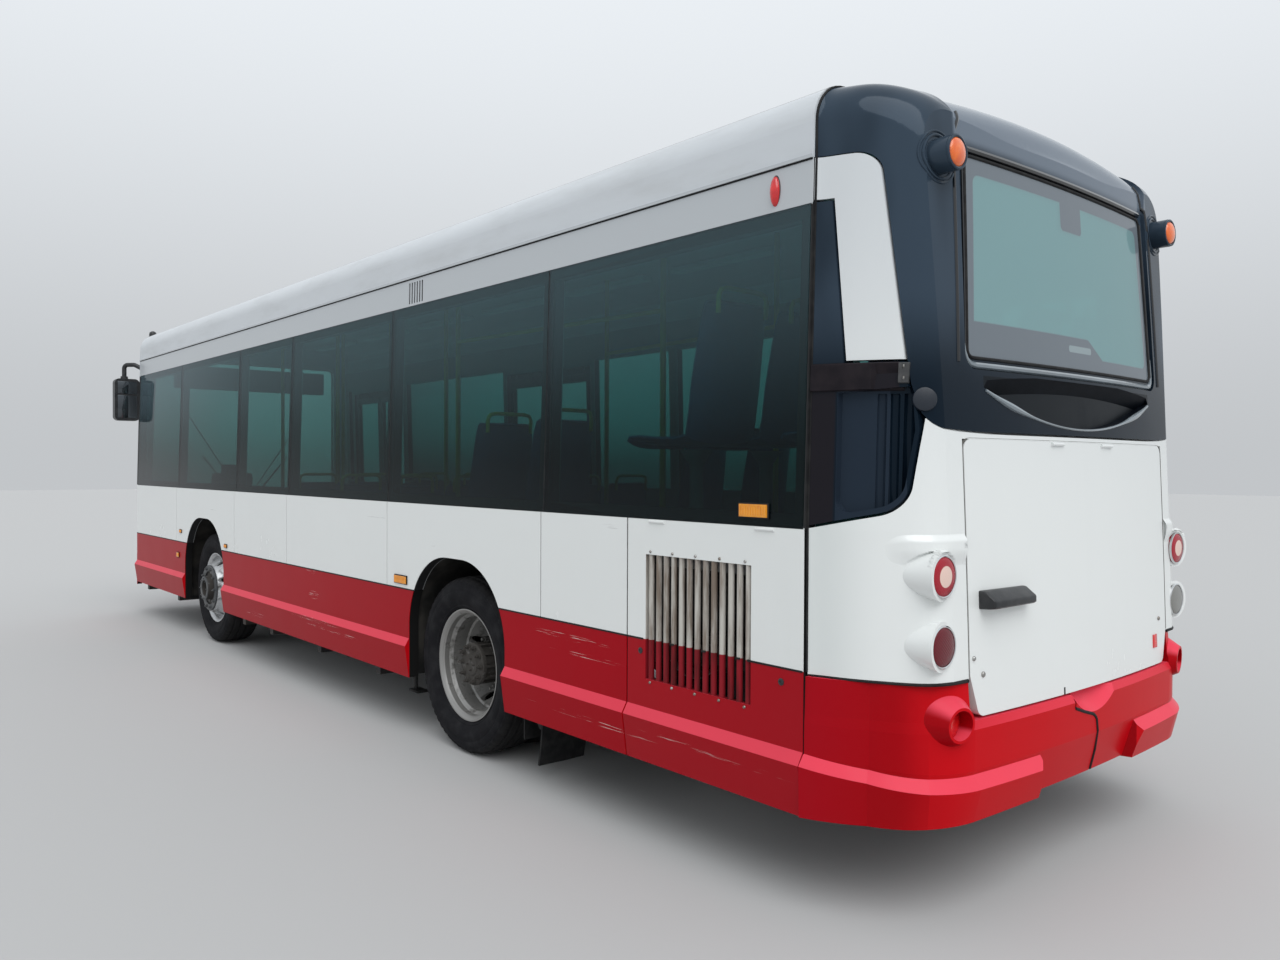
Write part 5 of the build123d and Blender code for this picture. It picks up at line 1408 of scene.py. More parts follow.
def window_sill(shape):
    low, turn = SILL_Z, 0.045
    end = [(0.752, low + 0.125), (0.751, low + 0.085), (0.747, low + turn), (0.738, low + 0.02),
           (0.720, low + 0.005)]
    path = [(-y, z) for y, z in end] + even((-0.690, low), (0.690, low), 36) + end[::-1]
    widths = [0.003, 0.005, 0.007, 0.009, 0.011] + [0.0115] * 37 + [0.011, 0.009, 0.007, 0.005, 0.003]
    bead(shape, tail_surface, -1, path, widths, 0.001)


def window_gutter(shape):
    high = WINDOW_HIGH + 0.020
    bead(shape, tail_surface, -1, even((-0.690, high), (0.690, high), 40), 0.0125, 0.001)
    for way in (-1, 1):
        path = even((way * 0.712, WINDOW_HIGH - 0.02), (way * 0.744, WINDOW_LOW), 20)
        bead(shape, tail_surface, -1, path, 0.0055, 0.001)


# Painted shade: a black gloss bead runs down each side of the window, where the step beside the pane lies in
# shade.
@both_sides
def window_groove_shades(shape, way):
    path = even((way * 0.705, CROWN - 0.155), (way * 0.738, CROWN - 0.225), 6)
    path += even((way * 0.738, CROWN - 0.225), (way * 0.775, WINDOW_HIGH - 0.06), 8)[1:]
    path += even((way * 0.775, WINDOW_HIGH - 0.06), (way * 0.800, WINDOW_LOW - 0.02), 24)[1:]
    bead(shape, tail_surface, -1, path, 0.0065, 0.0)


piece("window_groove_shades", window_groove_shades, GLOSS_BLACK)
piece("scoop_lip", smile_lip, LIP_HIGHLIGHT)
piece("window_sill", window_sill, LIP_HIGHLIGHT)
piece("window_gutter", window_gutter, GLOSS_BLACK)

# %% [markdown]
# ## Small things on the lid
#
# Three bolt heads and a red reflector sit round the edge of the tail lid, and a brown-black bolted
# strip closes the top of each side vent. The strip turns with the tail's corner, so its section is cast
# onto the panel at many places from the seam to its end.

# %% Bolts, reflector and vent strip
LID_BOLTS = ((0.769, 0.889, 0.0085), (0.719, 0.830, 0.010), (-0.701, 0.883, 0.0085))


def lid_bolts(shape):
    for y, z, radius in LID_BOLTS:
        turned(shape, [(radius, 0.001), (radius, -0.003), (radius * 0.7, -0.006), (0.0, -0.0065),
                       (0.0, 0.001)], cast(hatch_surface, -1, y, z)[0], "X", 16)


def lid_reflector(shape):
    slab(shape, hatch_surface, -1, -0.672, -0.628, 0.764, 0.820, 0.006, 6)


def side_place(x, z, way):
    """A point on the tail's side; over a joint, the depth of the panel beside it."""
    for shift in (0, 0.006, 0.012, -0.006, 0.02, 0.03):
        place = beside(tail_side_surface, x + shift, z, way)
        if place is not None:
            return Vector((x, place.y, z))


def side_strip(shape, way, x0, x1, z0, z1, out, steps=10):
    """A strip with rounded edges that follows the tail's side, from x0 to x1 behind the seam."""
    rows = []
    for x in (SEAM - x0 - (x1 - x0) * s / steps for s in range(steps + 1)):
        ring = []
        for z, proud in ((z0, -0.003), (z0 + 0.0008, out * 0.7), (z0 + 0.004, out), (z1 - 0.004, out),
                         (z1 - 0.0008, out * 0.7), (z1, -0.003)):
            place = side_place(x, z, way)
            ring.append(shape.verts.new(place + Vector((-0.35, way * 0.94, 0)) * proud))
        rows.append(ring)
    loft(shape, rows)


@both_sides
def vent_strips(shape, way):
    side_strip(shape, way, 0.004, 0.262, 1.790, 1.884, 0.011, 32)


@both_sides
def strip_ends(shape, way):
    side_strip(shape, way, 0.262, 0.290, 1.812, 1.882, 0.011, 4)


def round_cover(shape):
    """A blank round cover over the corner where the vent, the mask and the white corner meet."""
    place = cast(tail_side_surface, -1, 0.952, 1.759)[0]
    facing = Vector((-0.70, 0.71, 0.05)).normalized()
    across = facing.cross(Vector((0, 0, 1))).normalized()
    up = across.cross(facing).normalized()
    rings = []
    for reach, out in ((0.040, -0.012), (0.0405, 0.004), (0.0385, 0.0075), (0.034, 0.009),
                       (0.0, 0.0095)):
        centre = place + facing * out
        rings.append([shape.verts.new(centre + (across * math.cos(a) + up * math.sin(a)) * reach)
                      for a in (2 * math.pi * s / 40 for s in range(40))])
    skin(shape, rings)
    shape.faces.new(rings[0][::-1])


tail_side_surface = surface_of("rear_vents", "rear_mask", "rear_side_panels")
STRIP_BLUE = grained("blue_black_cover", rgb(0.006, 0.011, 0.020), rgb(0.010, 0.016, 0.026), 0.4, 90)
STRIP_BROWN = grained("brown_black_strip", rgb(0.010, 0.008, 0.011), rgb(0.018, 0.014, 0.017), 0.5, 200,
                      shine=0.12)
piece("lid_bolts", lid_bolts, ZINC, body="tail_lid")
piece("lid_reflector", lid_reflector, FOG_LENS, body="tail_lid")
piece("vent_strips", vent_strips, STRIP_BROWN, smooth=30)
piece("vent_strip_ends", strip_ends, DASH, smooth=30)
piece("corner_cover", round_cover, STRIP_BLUE, smooth=40)
for side, way in SIDES:
    grown(f"vent_strip_bolts_{side}", ROW_TREE,
          {"Count": 2, "Start": (SEAM - 0.286, way * 1.012, 1.829), "Step": (0, 0, 0.039), "Size": 0.014,
           "Turn": (-way * math.pi / 2, 0, way * -0.75)}, ZINC, BODY)

# %% [markdown]
# ## Joints on the tail
#
# The lid's joint shows as a soft grey line: a rubber lies a few millimetres down in it. Under the white
# corners a black tube, thicker towards the lid, is painted shadow in the gap. The bumper is in two mouldings
# with a wide black joint, and the lid carries a wedge shaped pull bar and a small slot. A cut through the
# panels would show what lies behind them; a thin tube sunk until it just shows looks like a closed joint.

# %% Lid rubber, gap shadows, bumper joint, pull bar and slot
LID_HALF, LID_TOP = 0.794, 1.635
tail_joint_surface = surface_of("rear_side_panels", "rear_mask", "rear_hatch")
corner_surface = surface_of("rear_side_panels")
JOINT_GREY = grained("joint_grey", rgb(0.13, 0.125, 0.115), rgb(0.08, 0.077, 0.072), 0.8, 90)


def skin_x(surface, y, z):
    """How far back the skin is at y and z; over a joint, that of the panel beside it."""
    for dy, dz in ((0, 0), (0.014, 0), (-0.014, 0), (0, -0.014), (0.014, -0.014), (-0.014, -0.014),
                   (0, 0.02)):
        place = cast(surface, -1, y + dy, z + dz)[0]
        if place is not None and place.x < SEAM - 0.3:
            return place.x
    return surface.find_nearest(Vector((SEAM - 0.42, y, z)))[0].x


def lid_rubber(shape):
    """Rounds the lid's two upper corners and runs down both sides."""
    turn = 0.036
    arc = [(LID_HALF - turn + turn * math.cos(a), LID_TOP - turn + turn * math.sin(a))
           for a in (math.radians(15 * s) for s in range(0, 7))]
    right_side = even((LID_HALF, 0.83), (LID_HALF, LID_TOP - turn - 0.01), 24)
    half = right_side + arc
    path = half + even((LID_HALF - turn - 0.02, LID_TOP), (-LID_HALF + turn + 0.02, LID_TOP), 40)
    path += [(-y, z) for y, z in half[::-1]]
    depth = []
    for y, z in path:
        depth.append(Vector((skin_x(tail_joint_surface, y, z) + 0.0045, y, z)))
    tube(shape, depth, 0.0048, 8)


def bumper_joint(shape):
    path = [(0.152, 0.634), (0.080, 0.6105), (0.006, 0.590), (-0.012, 0.579), (-0.024, 0.566),
            (-0.037, 0.520), (-0.061, 0.441), (-0.068, 0.395), (-0.0715, 0.353)]
    points = []
    for y, z in path:
        points.append(Vector((skin_x(bumper_surface, y + 0.016, z) + 0.0005, y, z)))
    tube(shape, points, 0.0062, 8)


@both_sides
def corner_gap_shades(shape, way):
    """A black tube under the white corners, thicker towards the lid: painted shadow in the gap below them.
    """
    points = []
    for s in range(25):
        y = way * (0.802 + 0.346 * math.cos(math.pi / 2 * s / 24))
        place, normal = cast(corner_surface, -1, y, 0.828)
        if place is not None:
            points.append(place - normal * 0.002 + Vector((0, 0, -0.010)))
    last = len(points) - 1
    tube(shape, points, [0.0032 + 0.0045 * s / last for s in range(last + 1)], 8)


def pull_bar(shape):
    """A wedge with eased edges and slightly tapered ends."""
    outline = ((-0.380, 1.050), (-0.432, 1.053), (-0.458, 1.057), (-0.4640, 1.062), (-0.4640, 1.080),
               (-0.4610, 1.086), (-0.4260, 1.1125), (-0.4200, 1.115), (-0.380, 1.115))
    middle_x, middle_z = -0.415, 1.082
    rows = []
    for y, size in ((0.7325, 0.86), (0.7295, 0.96), (0.722, 1.0), (0.470, 1.0), (0.460, 0.96),
                    (0.4565, 0.86)):
        rows.append([shape.verts.new((SEAM + middle_x + (x - middle_x) * (size if x < -0.39 else 1.0), y,
                                      middle_z + (z - middle_z) * size)) for x, z in outline])
    loft(shape, rows)


def lid_slot(shape):
    slab(shape, hatch_surface, -1, 0.192, 0.202, 0.690, 0.716, 0.0012, 4)


piece("lid_joint_rubber", lid_rubber, JOINT_GREY)
piece("corner_gap_shades", corner_gap_shades, RUBBER)
piece("bumper_joint", bumper_joint, RUBBER)
bar_piece = piece("lid_pull_bar", pull_bar, BLACK, body="tail_lid", smooth=30)
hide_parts("hatch_bar")
piece("lid_slot", lid_slot, RUBBER, body="tail_lid")

# %% [markdown]
# ## Shoulder over the upper lamps
#
# Over each upper round lamp the corner panel swells out in a soft shoulder that runs to the lid's joint.
# It could be sculpted, but a height given in numbers is the same on both sides. It is laid on the corner
# panel as a closed skin whose height rises over a few centimetres and fades below.

# %% Lamp shoulders
def smooth(value, low, high):
    t = max(0.0, min(1.0, (value - low) / (high - low)))
    return t * t * (3 - 2 * t)


def lamp_shoulders(shape):
    columns, rows_count = 60, 34
    for way in (1, -1):
        aim = Vector((0.78, -way * 0.62, 0)).normalized()
        sideways = Vector((aim.y, -aim.x, 0)) * -way
        middle_place = Vector((SEAM - 0.33, way * 0.93, 0))
        top, under = [], []
        for row in range(rows_count + 1):
            for column in range(columns + 1):
                u, v = column / columns, row / rows_count
                reach = -0.140 + 0.300 * u
                z = 1.318 - 0.120 * v
                start = middle_place + sideways * reach + Vector((0, 0, z)) - aim * 1.5
                place, normal = corner_surface.ray_cast(start, aim)[:2]
                if place is None:
                    place, normal = corner_surface.find_nearest(start + aim * 1.5)[:2]
                bend = z + 1.9 * max(0.0, reach - 0.075) ** 2 * 2
                fade = (1 - smooth(v, 0.45, 1.0)) * (1 - smooth(u, 0.62, 1.0))
                rise = smooth(1.316 - bend, 0.0, 0.030) * fade
                lamp = math.hypot(abs(place.y) - LAMP_Y, z - LAMP_HEIGHTS[0])
                height = 0.013 * rise - 0.0008 if lamp > 0.082 else -0.003
                top.append(shape.verts.new(place + normal * height))
                under.append(shape.verts.new(place - normal * 0.004))
        closed_sheet(shape, top, under, columns, rows_count)


piece("lamp_shoulders", lamp_shoulders, WHITE, smooth=60)

# %% [markdown]
# ## The scoop's inside
#
# The walls of the scoop face down and up, so they would shine with the floor and the sky. On the real bus
# they lie in the shade, and a matt black keeps them dark.

# %% Matt black in the scoop
SCOOP_BLACK = grained("scoop_black", rgb(0.0015, 0.003, 0.006), rgb(0.004, 0.006, 0.010), 0.55, 120,
                      shine=0.08)
mask_mesh = nodes["rear_mask"].data
mask_mesh.materials.append(SCOOP_BLACK)
inside_scoop = 0
for polygon in mask_mesh.polygons:
    centre = polygon.center
    in_view = abs(centre.y) < SMILE_HALF + 0.002 and SMILE_LOW - 0.002 < centre.z < SCOOP_TOP + 0.002
    if in_view and centre.x < SEAM - 0.30 and abs(polygon.normal.z) > 0.35:
        polygon.material_index = 1
        inside_scoop += 1
print(inside_scoop, "faces in the scoop")

# %% [markdown]
# ## The engine flap's fixings
#
# Small bolts run above and below the slatted grille, and the flap has two quarter-turn locks. The row
# tree sets each line of bolts from a start, a step and a count, so they move along with the grille.

# %% Bolts round the grille and locks
for name, z in (("above", GRILLE_HIGH + 0.012), ("below", GRILLE_LOW - 0.012)):
    grown(f"grille_bolts_{name}", ROW_TREE,
          {"Count": 5, "Start": (SEAM + GRILLE_X[0] + 0.03, HALF + 0.001, z), "Step": (0.131, 0, 0),
           "Size": 0.013, "Turn": (-math.pi / 2, 0, 0)}, ZINC, "engine_flap")


def flap_locks(shape):
    for x in (0.10, 0.86):
        turned(shape, [(0.013, -0.001), (0.013, 0.002), (0.010, 0.0035), (0.006, 0.0035), (0.005, 0.001),
                       (0.0, 0.001), (0.0, -0.001)], (SEAM + x, HALF, 0.78), "Y", 20)


piece("flap_locks", flap_locks, BLACK, body="engine_flap")

# %% [markdown]
# ## Under the skirts
#
# A loose rubber flap and a bolted bracket hang behind the rear wheel, and a small red tread plate ahead
# of it. A drive shaft joins the engine to the axle, which is carried on air bellows and braked by
# chambers behind the wheels. These are only seen from low down, so plain turned forms are enough.

# %% Flap, brackets, drive shaft, bellows and chambers
@both_sides
def hanging_flap(shape, way):
    rows = []
    for s in range(9):
        z = 0.345 - 0.265 * s / 8
        swing = 0.030 * (s / 8) ** 2
        ring = [(1.700 + swing, 0.800), (1.712 + swing, 0.800), (1.706 + swing, 0.93),
                (1.712 + swing, 1.070), (1.700 + swing, 1.070), (1.694 + swing, 0.93)]
        rows.append([shape.verts.new((SEAM + x, way * y, z)) for x, y in ring])
    loft(shape, rows)


@both_sides
def flap_brackets(shape, way):
    side_box(shape, way, (SEAM + 1.690, 0.78, 0.315), (SEAM + 1.722, 1.085, 0.352), 0.004)
    tube(shape, [(SEAM + 1.722, way * 1.02, 0.33), (SEAM + 1.775, way * 1.02, 0.30),
                 (SEAM + 1.80, way * 1.02, 0.262)], 0.014)
    turned(shape,
           [(0.034, 0.0), (0.034, 0.012), (0.020, 0.016), (0.020, 0.034), (0.0, 0.034), (0.0, 0.0)],
           (SEAM + 1.745, way * 1.02, 0.272), "Y", 24)


@both_sides
def tread_plates(shape, way):
    side_box(shape, way, (SEAM + 2.915, 1.03, 0.222), (SEAM + 3.02, 1.10, 0.236), 0.003)
    side_box(shape, way, (SEAM + 2.955, 1.075, 0.230), (SEAM + 2.995, 1.085, 0.360), 0.003)


def drive_shaft(shape):
    start, end = SEAM + 1.062, REAR_X - 0.333
    turned(shape, [(0.075, start), (0.075, start + 0.02), (0.045, start + 0.05), (0.045, end - 0.05),
                   (0.075, end - 0.02), (0.075, end), (0.0, end), (0.0, start)], (0, 0, TYRE_R), "X", 32)


@both_sides
def brake_chambers(shape, way):
    turned(shape, [(0.0, 0.085), (0.060, 0.085), (0.072, 0.10), (0.074, 0.150), (0.080, 0.153),
                   (0.080, 0.163), (0.074, 0.166), (0.070, 0.22), (0.055, 0.245), (0.0, 0.25)],
           (REAR_X, way * 0.33, TYRE_R + 0.04), "X", 32)


@both_sides
def bellows(shape, way):
    turned(shape, [(0.0, 0.075), (0.055, 0.075), (0.066, 0.082), (0.070, 0.090), (0.066, 0.098),
                   (0.058, 0.100), (0.066, 0.104), (0.070, 0.111), (0.064, 0.1185), (0.0, 0.1185)],
           (REAR_X + 0.16, way * 0.45, TYRE_R), "Z", 32)


piece("loose_mud_flaps", hanging_flap, RUBBER)
piece("flap_brackets", flap_brackets, STEEL)
piece("tread_plates", tread_plates, RED)
piece("drive_shaft", drive_shaft, STEEL)
piece("brake_chambers", brake_chambers, STEEL)
piece("air_bellows", bellows, RUBBER)

# %% [markdown]
# ## Mirrors and the front
#
# The hidden front is finished from the type: mirror glasses, two long wipers, a blank destination box
# behind the screen, a slatted grille, bright rings round the headlamps and a blank plate. Most of it is
# laid on the panels by casting rays from ahead.

# %% Mirror glass, roof lamp, wipers and front trim
NOSE_X = SEAM + 9.080
HEADLAMPS_Y, HEADLAMP_Z = (0.820, 0.630), 0.780
MIRROR_Y, MIRROR_Z, MIRROR_HALF = 1.210, CROWN - 0.725, 0.092
front_surface = surface_of("front_panel", "windscreen", "front_bumper", "headlamps")
MIRROR_GLASS = grained("mirror_glass", rgb(0.10, 0.11, 0.12), rgb(0.08, 0.09, 0.10), 0.04, 40,
                       metal=1.0, bump=0.01)
PLATE = grained("blank_plate", rgb(0.72, 0.72, 0.70), rgb(0.62, 0.62, 0.60), 0.45, 120)


@both_sides
def mirror_glasses(shape, way):
    for low, high in ((-0.190, 0.045), (0.060, 0.190)):
        side_box(shape, way, (NOSE_X - 0.0155, MIRROR_Y - MIRROR_HALF, MIRROR_Z + low),
                 (NOSE_X - 0.008, MIRROR_Y + MIRROR_HALF, MIRROR_Z + high), 0.003)


@both_sides
def mirror_collars(shape, way):
    """The collar that grips the arm over each mirror head."""
    turned(shape, [(0.020, -0.05), (0.034, -0.05), (0.036, 0.0), (0.034, 0.02), (0.020, 0.02)],
           (NOSE_X + 0.05, way * 1.225, MIRROR_Z + 0.225), "Z", 24)


@both_sides
def roof_lamps(shape, way):
    """The little black lamp on each front corner of the roof."""
    place = roof_surface.ray_cast(Vector((SIDE_END - 0.02, way * 1.02, 4)), Vector((0, 0, -1)))[0]
    turned(shape, [(0.034, -0.012), (0.036, 0.010), (0.030, 0.032), (0.012, 0.044), (0.0, 0.045),
                   (0.0, -0.012)], place, "Z", 24)


@both_sides
def wipers(shape, way):
    pivot = (way * 0.12, 1.190)
    bead(shape, front_surface, 1, even(pivot, (way * 0.46, 1.62), 10), 0.009, 0.022)
    bead(shape, front_surface, 1, even((way * 0.12, 1.300), (way * 0.62, 2.06), 14), 0.0065, 0.012)
    turned(shape, [(0.022, -0.004), (0.022, 0.020), (0.014, 0.030), (0.0, 0.030), (0.0, -0.004)],
           cast(front_surface, 1, *pivot)[0], "X", 24)


def front_grille(shape):
    for row in range(6):
        z = 0.700 + 0.036 * row
        bead(shape, front_surface, 1, even((-0.46, z), (0.46, z), 16), 0.010, 0.004)
    for way in (1, -1):
        bead(shape, front_surface, 1, even((way * 0.47, 0.690), (way * 0.47, 0.890), 4), 0.010, 0.006)


@both_sides
def lamp_rings(shape, way):
    for y in HEADLAMPS_Y:
        path = round_path(way * y, HEADLAMP_Z, 0.088, 40)
        bead(shape, front_surface, 1, path + path[:1], 0.006, 0.001)


@both_sides
def lamp_bowls(shape, way):
    for y in HEADLAMPS_Y:
        for radius in (0.030, 0.058):
            path = round_path(way * y, HEADLAMP_Z, radius, 32)
            bead(shape, front_surface, 1, path + path[:1], 0.003, 0.000)


def front_plate(shape):
    slab(shape, front_surface, 1, -0.260, 0.260, 0.420, 0.532, 0.006, 10)


def plate_frame(shape):
    path = even((-0.265, 0.415), (0.265, 0.415), 10) + even((0.265, 0.415), (0.265, 0.537), 4)
    path += even((0.265, 0.537), (-0.265, 0.537), 10) + even((-0.265, 0.537), (-0.265, 0.415), 4)
    bead(shape, front_surface, 1, path, 0.005, 0.002)


def screen_rubber(shape):
    corners = [(-0.998, 1.172), (0.998, 1.172), (0.958, CROWN - 0.292), (-0.958, CROWN - 0.292)]
    path = corner_path(corners, 0.07)
    bead(shape, front_surface, 1, path + path[:1], 0.0075, 0.001)


def destination_box(shape):
    inner = min(cast(front_surface, 1, y, z)[0].x for y in (-0.8, 0, 0.8) for z in (2.34, 2.58))
    rounded_box(shape, (inner - 0.16, -0.80, 2.34), (inner - 0.05, 0.80, 2.58), 0.012)


roof_surface = surface_of("roof")
FRONT_PIECES = (
    ("mirror_glasses", mirror_glasses, MIRROR_GLASS, "rim_grey"),
    ("mirror_collars", mirror_collars, BLACK, "black_gloss"),
    ("roof_corner_lamps", roof_lamps, BLACK, "black_gloss"),
    ("wipers", wipers, BLACK, "black_gloss"),
    ("front_grille", front_grille, BLACK, "black_gloss"),
    ("headlamp_rings", lamp_rings, CHROME, "rim_grey"),
    ("headlamp_bowls", lamp_bowls, CHROME, "rim_grey"),
    ("front_plate", front_plate, PLATE, "liner_black"),
    ("front_plate_frame", plate_frame, BLACK, "black_gloss"),
    ("screen_rubber", screen_rubber, RUBBER, "black_gloss"),
    ("destination_box", destination_box, DASH, "dash_plastic"),
)
for name, builder, finish, slot in FRONT_PIECES:
    piece(name, builder, finish)
print(len(FRONT_PIECES), "pieces on the front")

# %% [markdown]
# ## Door rubbers
#
# Each leaf has a soft rubber lip down both upright edges, so that two leaves meet without pinching a
# hand, and a third along its foot. Each is a tube that leans with the side, drawn from the leaf's
# own box. They ride on their own leaf and open with it.

# %% Lips on the door leaves
for door in ("front", "middle"):
    for leaf in ("front", "rear"):
        low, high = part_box(f"door_{door}_{leaf}_leaf")

        def lips(shape):
            heights = (low.z + 0.01, SILL, (SILL + GLASS_TOP) / 2, min(GLASS_TOP, high.z - 0.01))
            for x in (low.x + 0.004, high.x - 0.004):
                tube(shape, [(x, -side_y(z) + 0.004, z) for z in heights], 0.0065, 8)
            tube(shape, [(x, -HALF + 0.012, low.z + 0.004) for x in (low.x + 0.02, high.x - 0.02)],
                 0.007, 8)

        body = f"{door}_door_{leaf}_leaf"
        piece(f"{body}_lips", lips, RUBBER, body=body)

# %% [markdown]
# ## Seats
#
# A bus seat is one curved plastic shell on a round pedestal, with a thin upholstered pad on the seat and
# one on the back, and a yellow grab rail over the shoulders. The pads are crowned closed forms whose
# sides pull in between their corners, sewn in channels. One seat is drawn and repeated.

# %% Where the seats stand
DECK, LOW_FLOOR, PLINTH = 1.190, 0.400, 1.095
SEATS = [(0.120, y, DECK, 0.40) for y in (-0.70, -0.25, 0.25, 0.70)]
SEATS += [(0.880, y, DECK, 0.40) for y in (-0.84, -0.40, 0.40, 0.84)]
SEATS += [(x, y, PLINTH, 0.06) for x in (2.145, 2.705) for y in (-0.79, 0.79)]
SEATS += [(x, y, LOW_FLOOR, 0.40) for x in (3.75, 4.50, 5.25) for y in (0.40, 0.84)]
SEATS += [(x, y, LOW_FLOOR, 0.40) for x in (3.60, 5.75) for y in (-0.40, -0.84)]
SHELL_LINE = ((0.226, 0.020), (0.215, 0.036), (0.16, 0.040), (0.05, 0.030), (-0.08, 0.028),
              (-0.150, 0.040), (-0.178, 0.080), (-0.192, 0.160), (-0.210, 0.290), (-0.232, 0.430),
              (-0.252, 0.550), (-0.262, 0.598), (-0.274, 0.606))


def seat_shell(shape, x, y, floor, rise):
    made = []
    across_steps = 10
    for number, (along, up) in enumerate(SHELL_LINE):
        half = 0.200 - 0.03 * max(0, number - 8) / 4
        row = []
        for step in range(across_steps + 1):
            v = -1 + 2 * step / across_steps
            curl = 0.030 * v ** 4
            seat_part = number < 6
            row.append(shape.verts.new((SEAM + x + along + (0 if seat_part else curl), y + half * v,
                                        floor + rise + up + (curl if seat_part else 0))))
        made.append(row)
    faces = [shape.faces.new((a[s], a[s + 1], b[s + 1], b[s]))
             for a, b in zip(made, made[1:]) for s in range(across_steps)]
    bmesh.ops.recalc_face_normals(shape, faces=faces)
    bmesh.ops.solidify(shape, geom=faces, thickness=0.010)


def pad(shape, centre, along, across, up, half_along, half_across, thick, cells=12):
    """A crowned closed cushion with pulled-in sides, sewn in channels along its length."""
    along, across, up, centre = (Vector(v) for v in (along, across, up, centre))
    rows = {}
    for face in (1, 0):
        for i in range(cells + 1):
            for j in range(cells + 1):
                u, v = -1 + 2 * i / cells, -1 + 2 * j / cells
                pinch_u, pinch_v = 1 - 0.05 * (1 - v * v), 1 - 0.05 * (1 - u * u)
                corner = 1 - 0.07 * (u * v) ** 4
                crown = ((1 - u ** 8) * (1 - v ** 8)) ** 0.5
                groove = 0.12 * (math.cos(v * math.pi * 4) > 0.98)
                upper = thick * (0.28 + 0.72 * crown * (1 - groove))
                lift = upper if face else thick * 0.28 * (1 - crown)
                reach_u = along * half_along * u * pinch_u * corner
                reach_v = across * half_across * v * pinch_v * corner
                rows[face, i, j] = shape.verts.new(centre + reach_u + reach_v + up * lift)
    for i in range(cells):
        for j in range(cells):
            for face in (1, 0):
                corners = ((i, j), (i + 1, j), (i + 1, j + 1), (i, j + 1))
                loop = [rows[face, a, b] for a, b in corners]
                shape.faces.new(loop if face else loop[::-1])


LEAN_BACK = Vector((-0.150, 0, 0.989)).normalized()
FACING = Vector((0.989, 0, 0.150)).normalized()


def seat_pads(shape):
    for x, y, floor, rise in SEATS:
        seat = Vector((SEAM + x, y, floor + rise))
        pad(shape, seat + Vector((0.035, 0, 0.038)), (1, 0, 0.02), (0, 1, 0), (0, 0, 1), 0.165, 0.178,
            0.034)
        pad(shape, seat + Vector((-0.204, 0, 0.335)), LEAN_BACK, (0, 1, 0), FACING, 0.215, 0.160, 0.030)


def seat_shells(shape):
    for row in SEATS:
        seat_shell(shape, *row)


def pedestals(shape):
    for x, y, floor, rise in SEATS:
        if rise > 0.1:
            outline = [(0.085, 0.0), (0.085, 0.012), (0.036, 0.030), (0.030, 0.060), (0.030, rise - 0.05),
                       (0.075, rise + 0.016), (0.0, rise + 0.016), (0.0, 0.0)]
            turned(shape, outline, (SEAM + x, y, floor), "Z", 20)
        else:
            rounded_box(shape, (SEAM + x - 0.12, y - 0.14, floor),
                        (SEAM + x + 0.12, y + 0.14, floor + rise + 0.025), 0.012)


def grab_rails(shape):
    for x, y, floor, rise in SEATS:
        points = [(-0.268, -0.140, 0.560), (-0.272, -0.140, 0.632), (-0.274, -0.128, 0.655),
                  (-0.274, -0.100, 0.664), (-0.274, 0.100, 0.664), (-0.274, 0.128, 0.655),
                  (-0.272, 0.140, 0.632), (-0.268, 0.140, 0.560)]
        tube(shape, [(SEAM + x + a, y + b, floor + rise + c) for a, b, c in points], 0.011, 8)


# %% Moquette and seat pieces
def moquette(g):
    """Cut-pile cloth: a fine twill under small scattered flecks."""
    x, y, z = g.axes()
    twill = ((y + z + x) * 1400.0).math("SINE", (y + z + x) * 1400.0)
    cross = ((y - z - x) * 1400.0).math("SINE", (y - z - x) * 1400.0)
    flecks = g.ease(g.noise(g.place(), 60.0, 2.0), 0.60, 0.64)
    pale = g.ease(g.noise(g.place(), 38.0, 2.0), 0.64, 0.67)
    cloth = g.blend(flecks, rgb(0.020, 0.045, 0.13), rgb(0.06, 0.13, 0.26))
    cloth = g.blend(pale, cloth, rgb(0.28, 0.10, 0.05))
    return {"Base Color": cloth, "Roughness": 0.88, "Sheen Weight": 0.35,
            "Normal": g.bump(twill + cross, 0.35, 0.0008)}


MOQUETTE = finish_of("seat_moquette", moquette)
shells = piece("seat_shells", seat_shells, SHELL_BLUE)
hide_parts("seats")
pads = piece("seat_pads", seat_pads, MOQUETTE, smooth=60)
piece("seat_pedestals", pedestals, TRIM_GREY)
piece("seat_grab_rails", grab_rails, YELLOW)
print(len(SEATS), "seats,", len(pads.data.polygons), "faces of padding")

# %% [markdown]
# ## The driver's seat
#
# The driver sits on a sprung seat: a rubber boot over the suspension, a thick cushion, a tall back and a
# head rest. The boot is turned like a bellows, and the pads are the passengers' cushion at other sizes.

# %% Driver's seat
DRIVER = Vector((SEAM + 8.010, 0.560, LOW_FLOOR))


def driver_pads(shape):
    pad(shape, DRIVER + Vector((0.02, 0, 0.445)), (1, 0, 0.03), (0, 1, 0), (0, 0, 1), 0.215, 0.225,
        0.085)
    pad(shape, DRIVER + Vector((-0.205, 0, 0.790)), LEAN_BACK, (0, 1, 0), FACING, 0.270, 0.205, 0.085)
    pad(shape, DRIVER + Vector((-0.262, 0, 1.075)), LEAN_BACK, (0, 1, 0), FACING, 0.060, 0.120, 0.075)


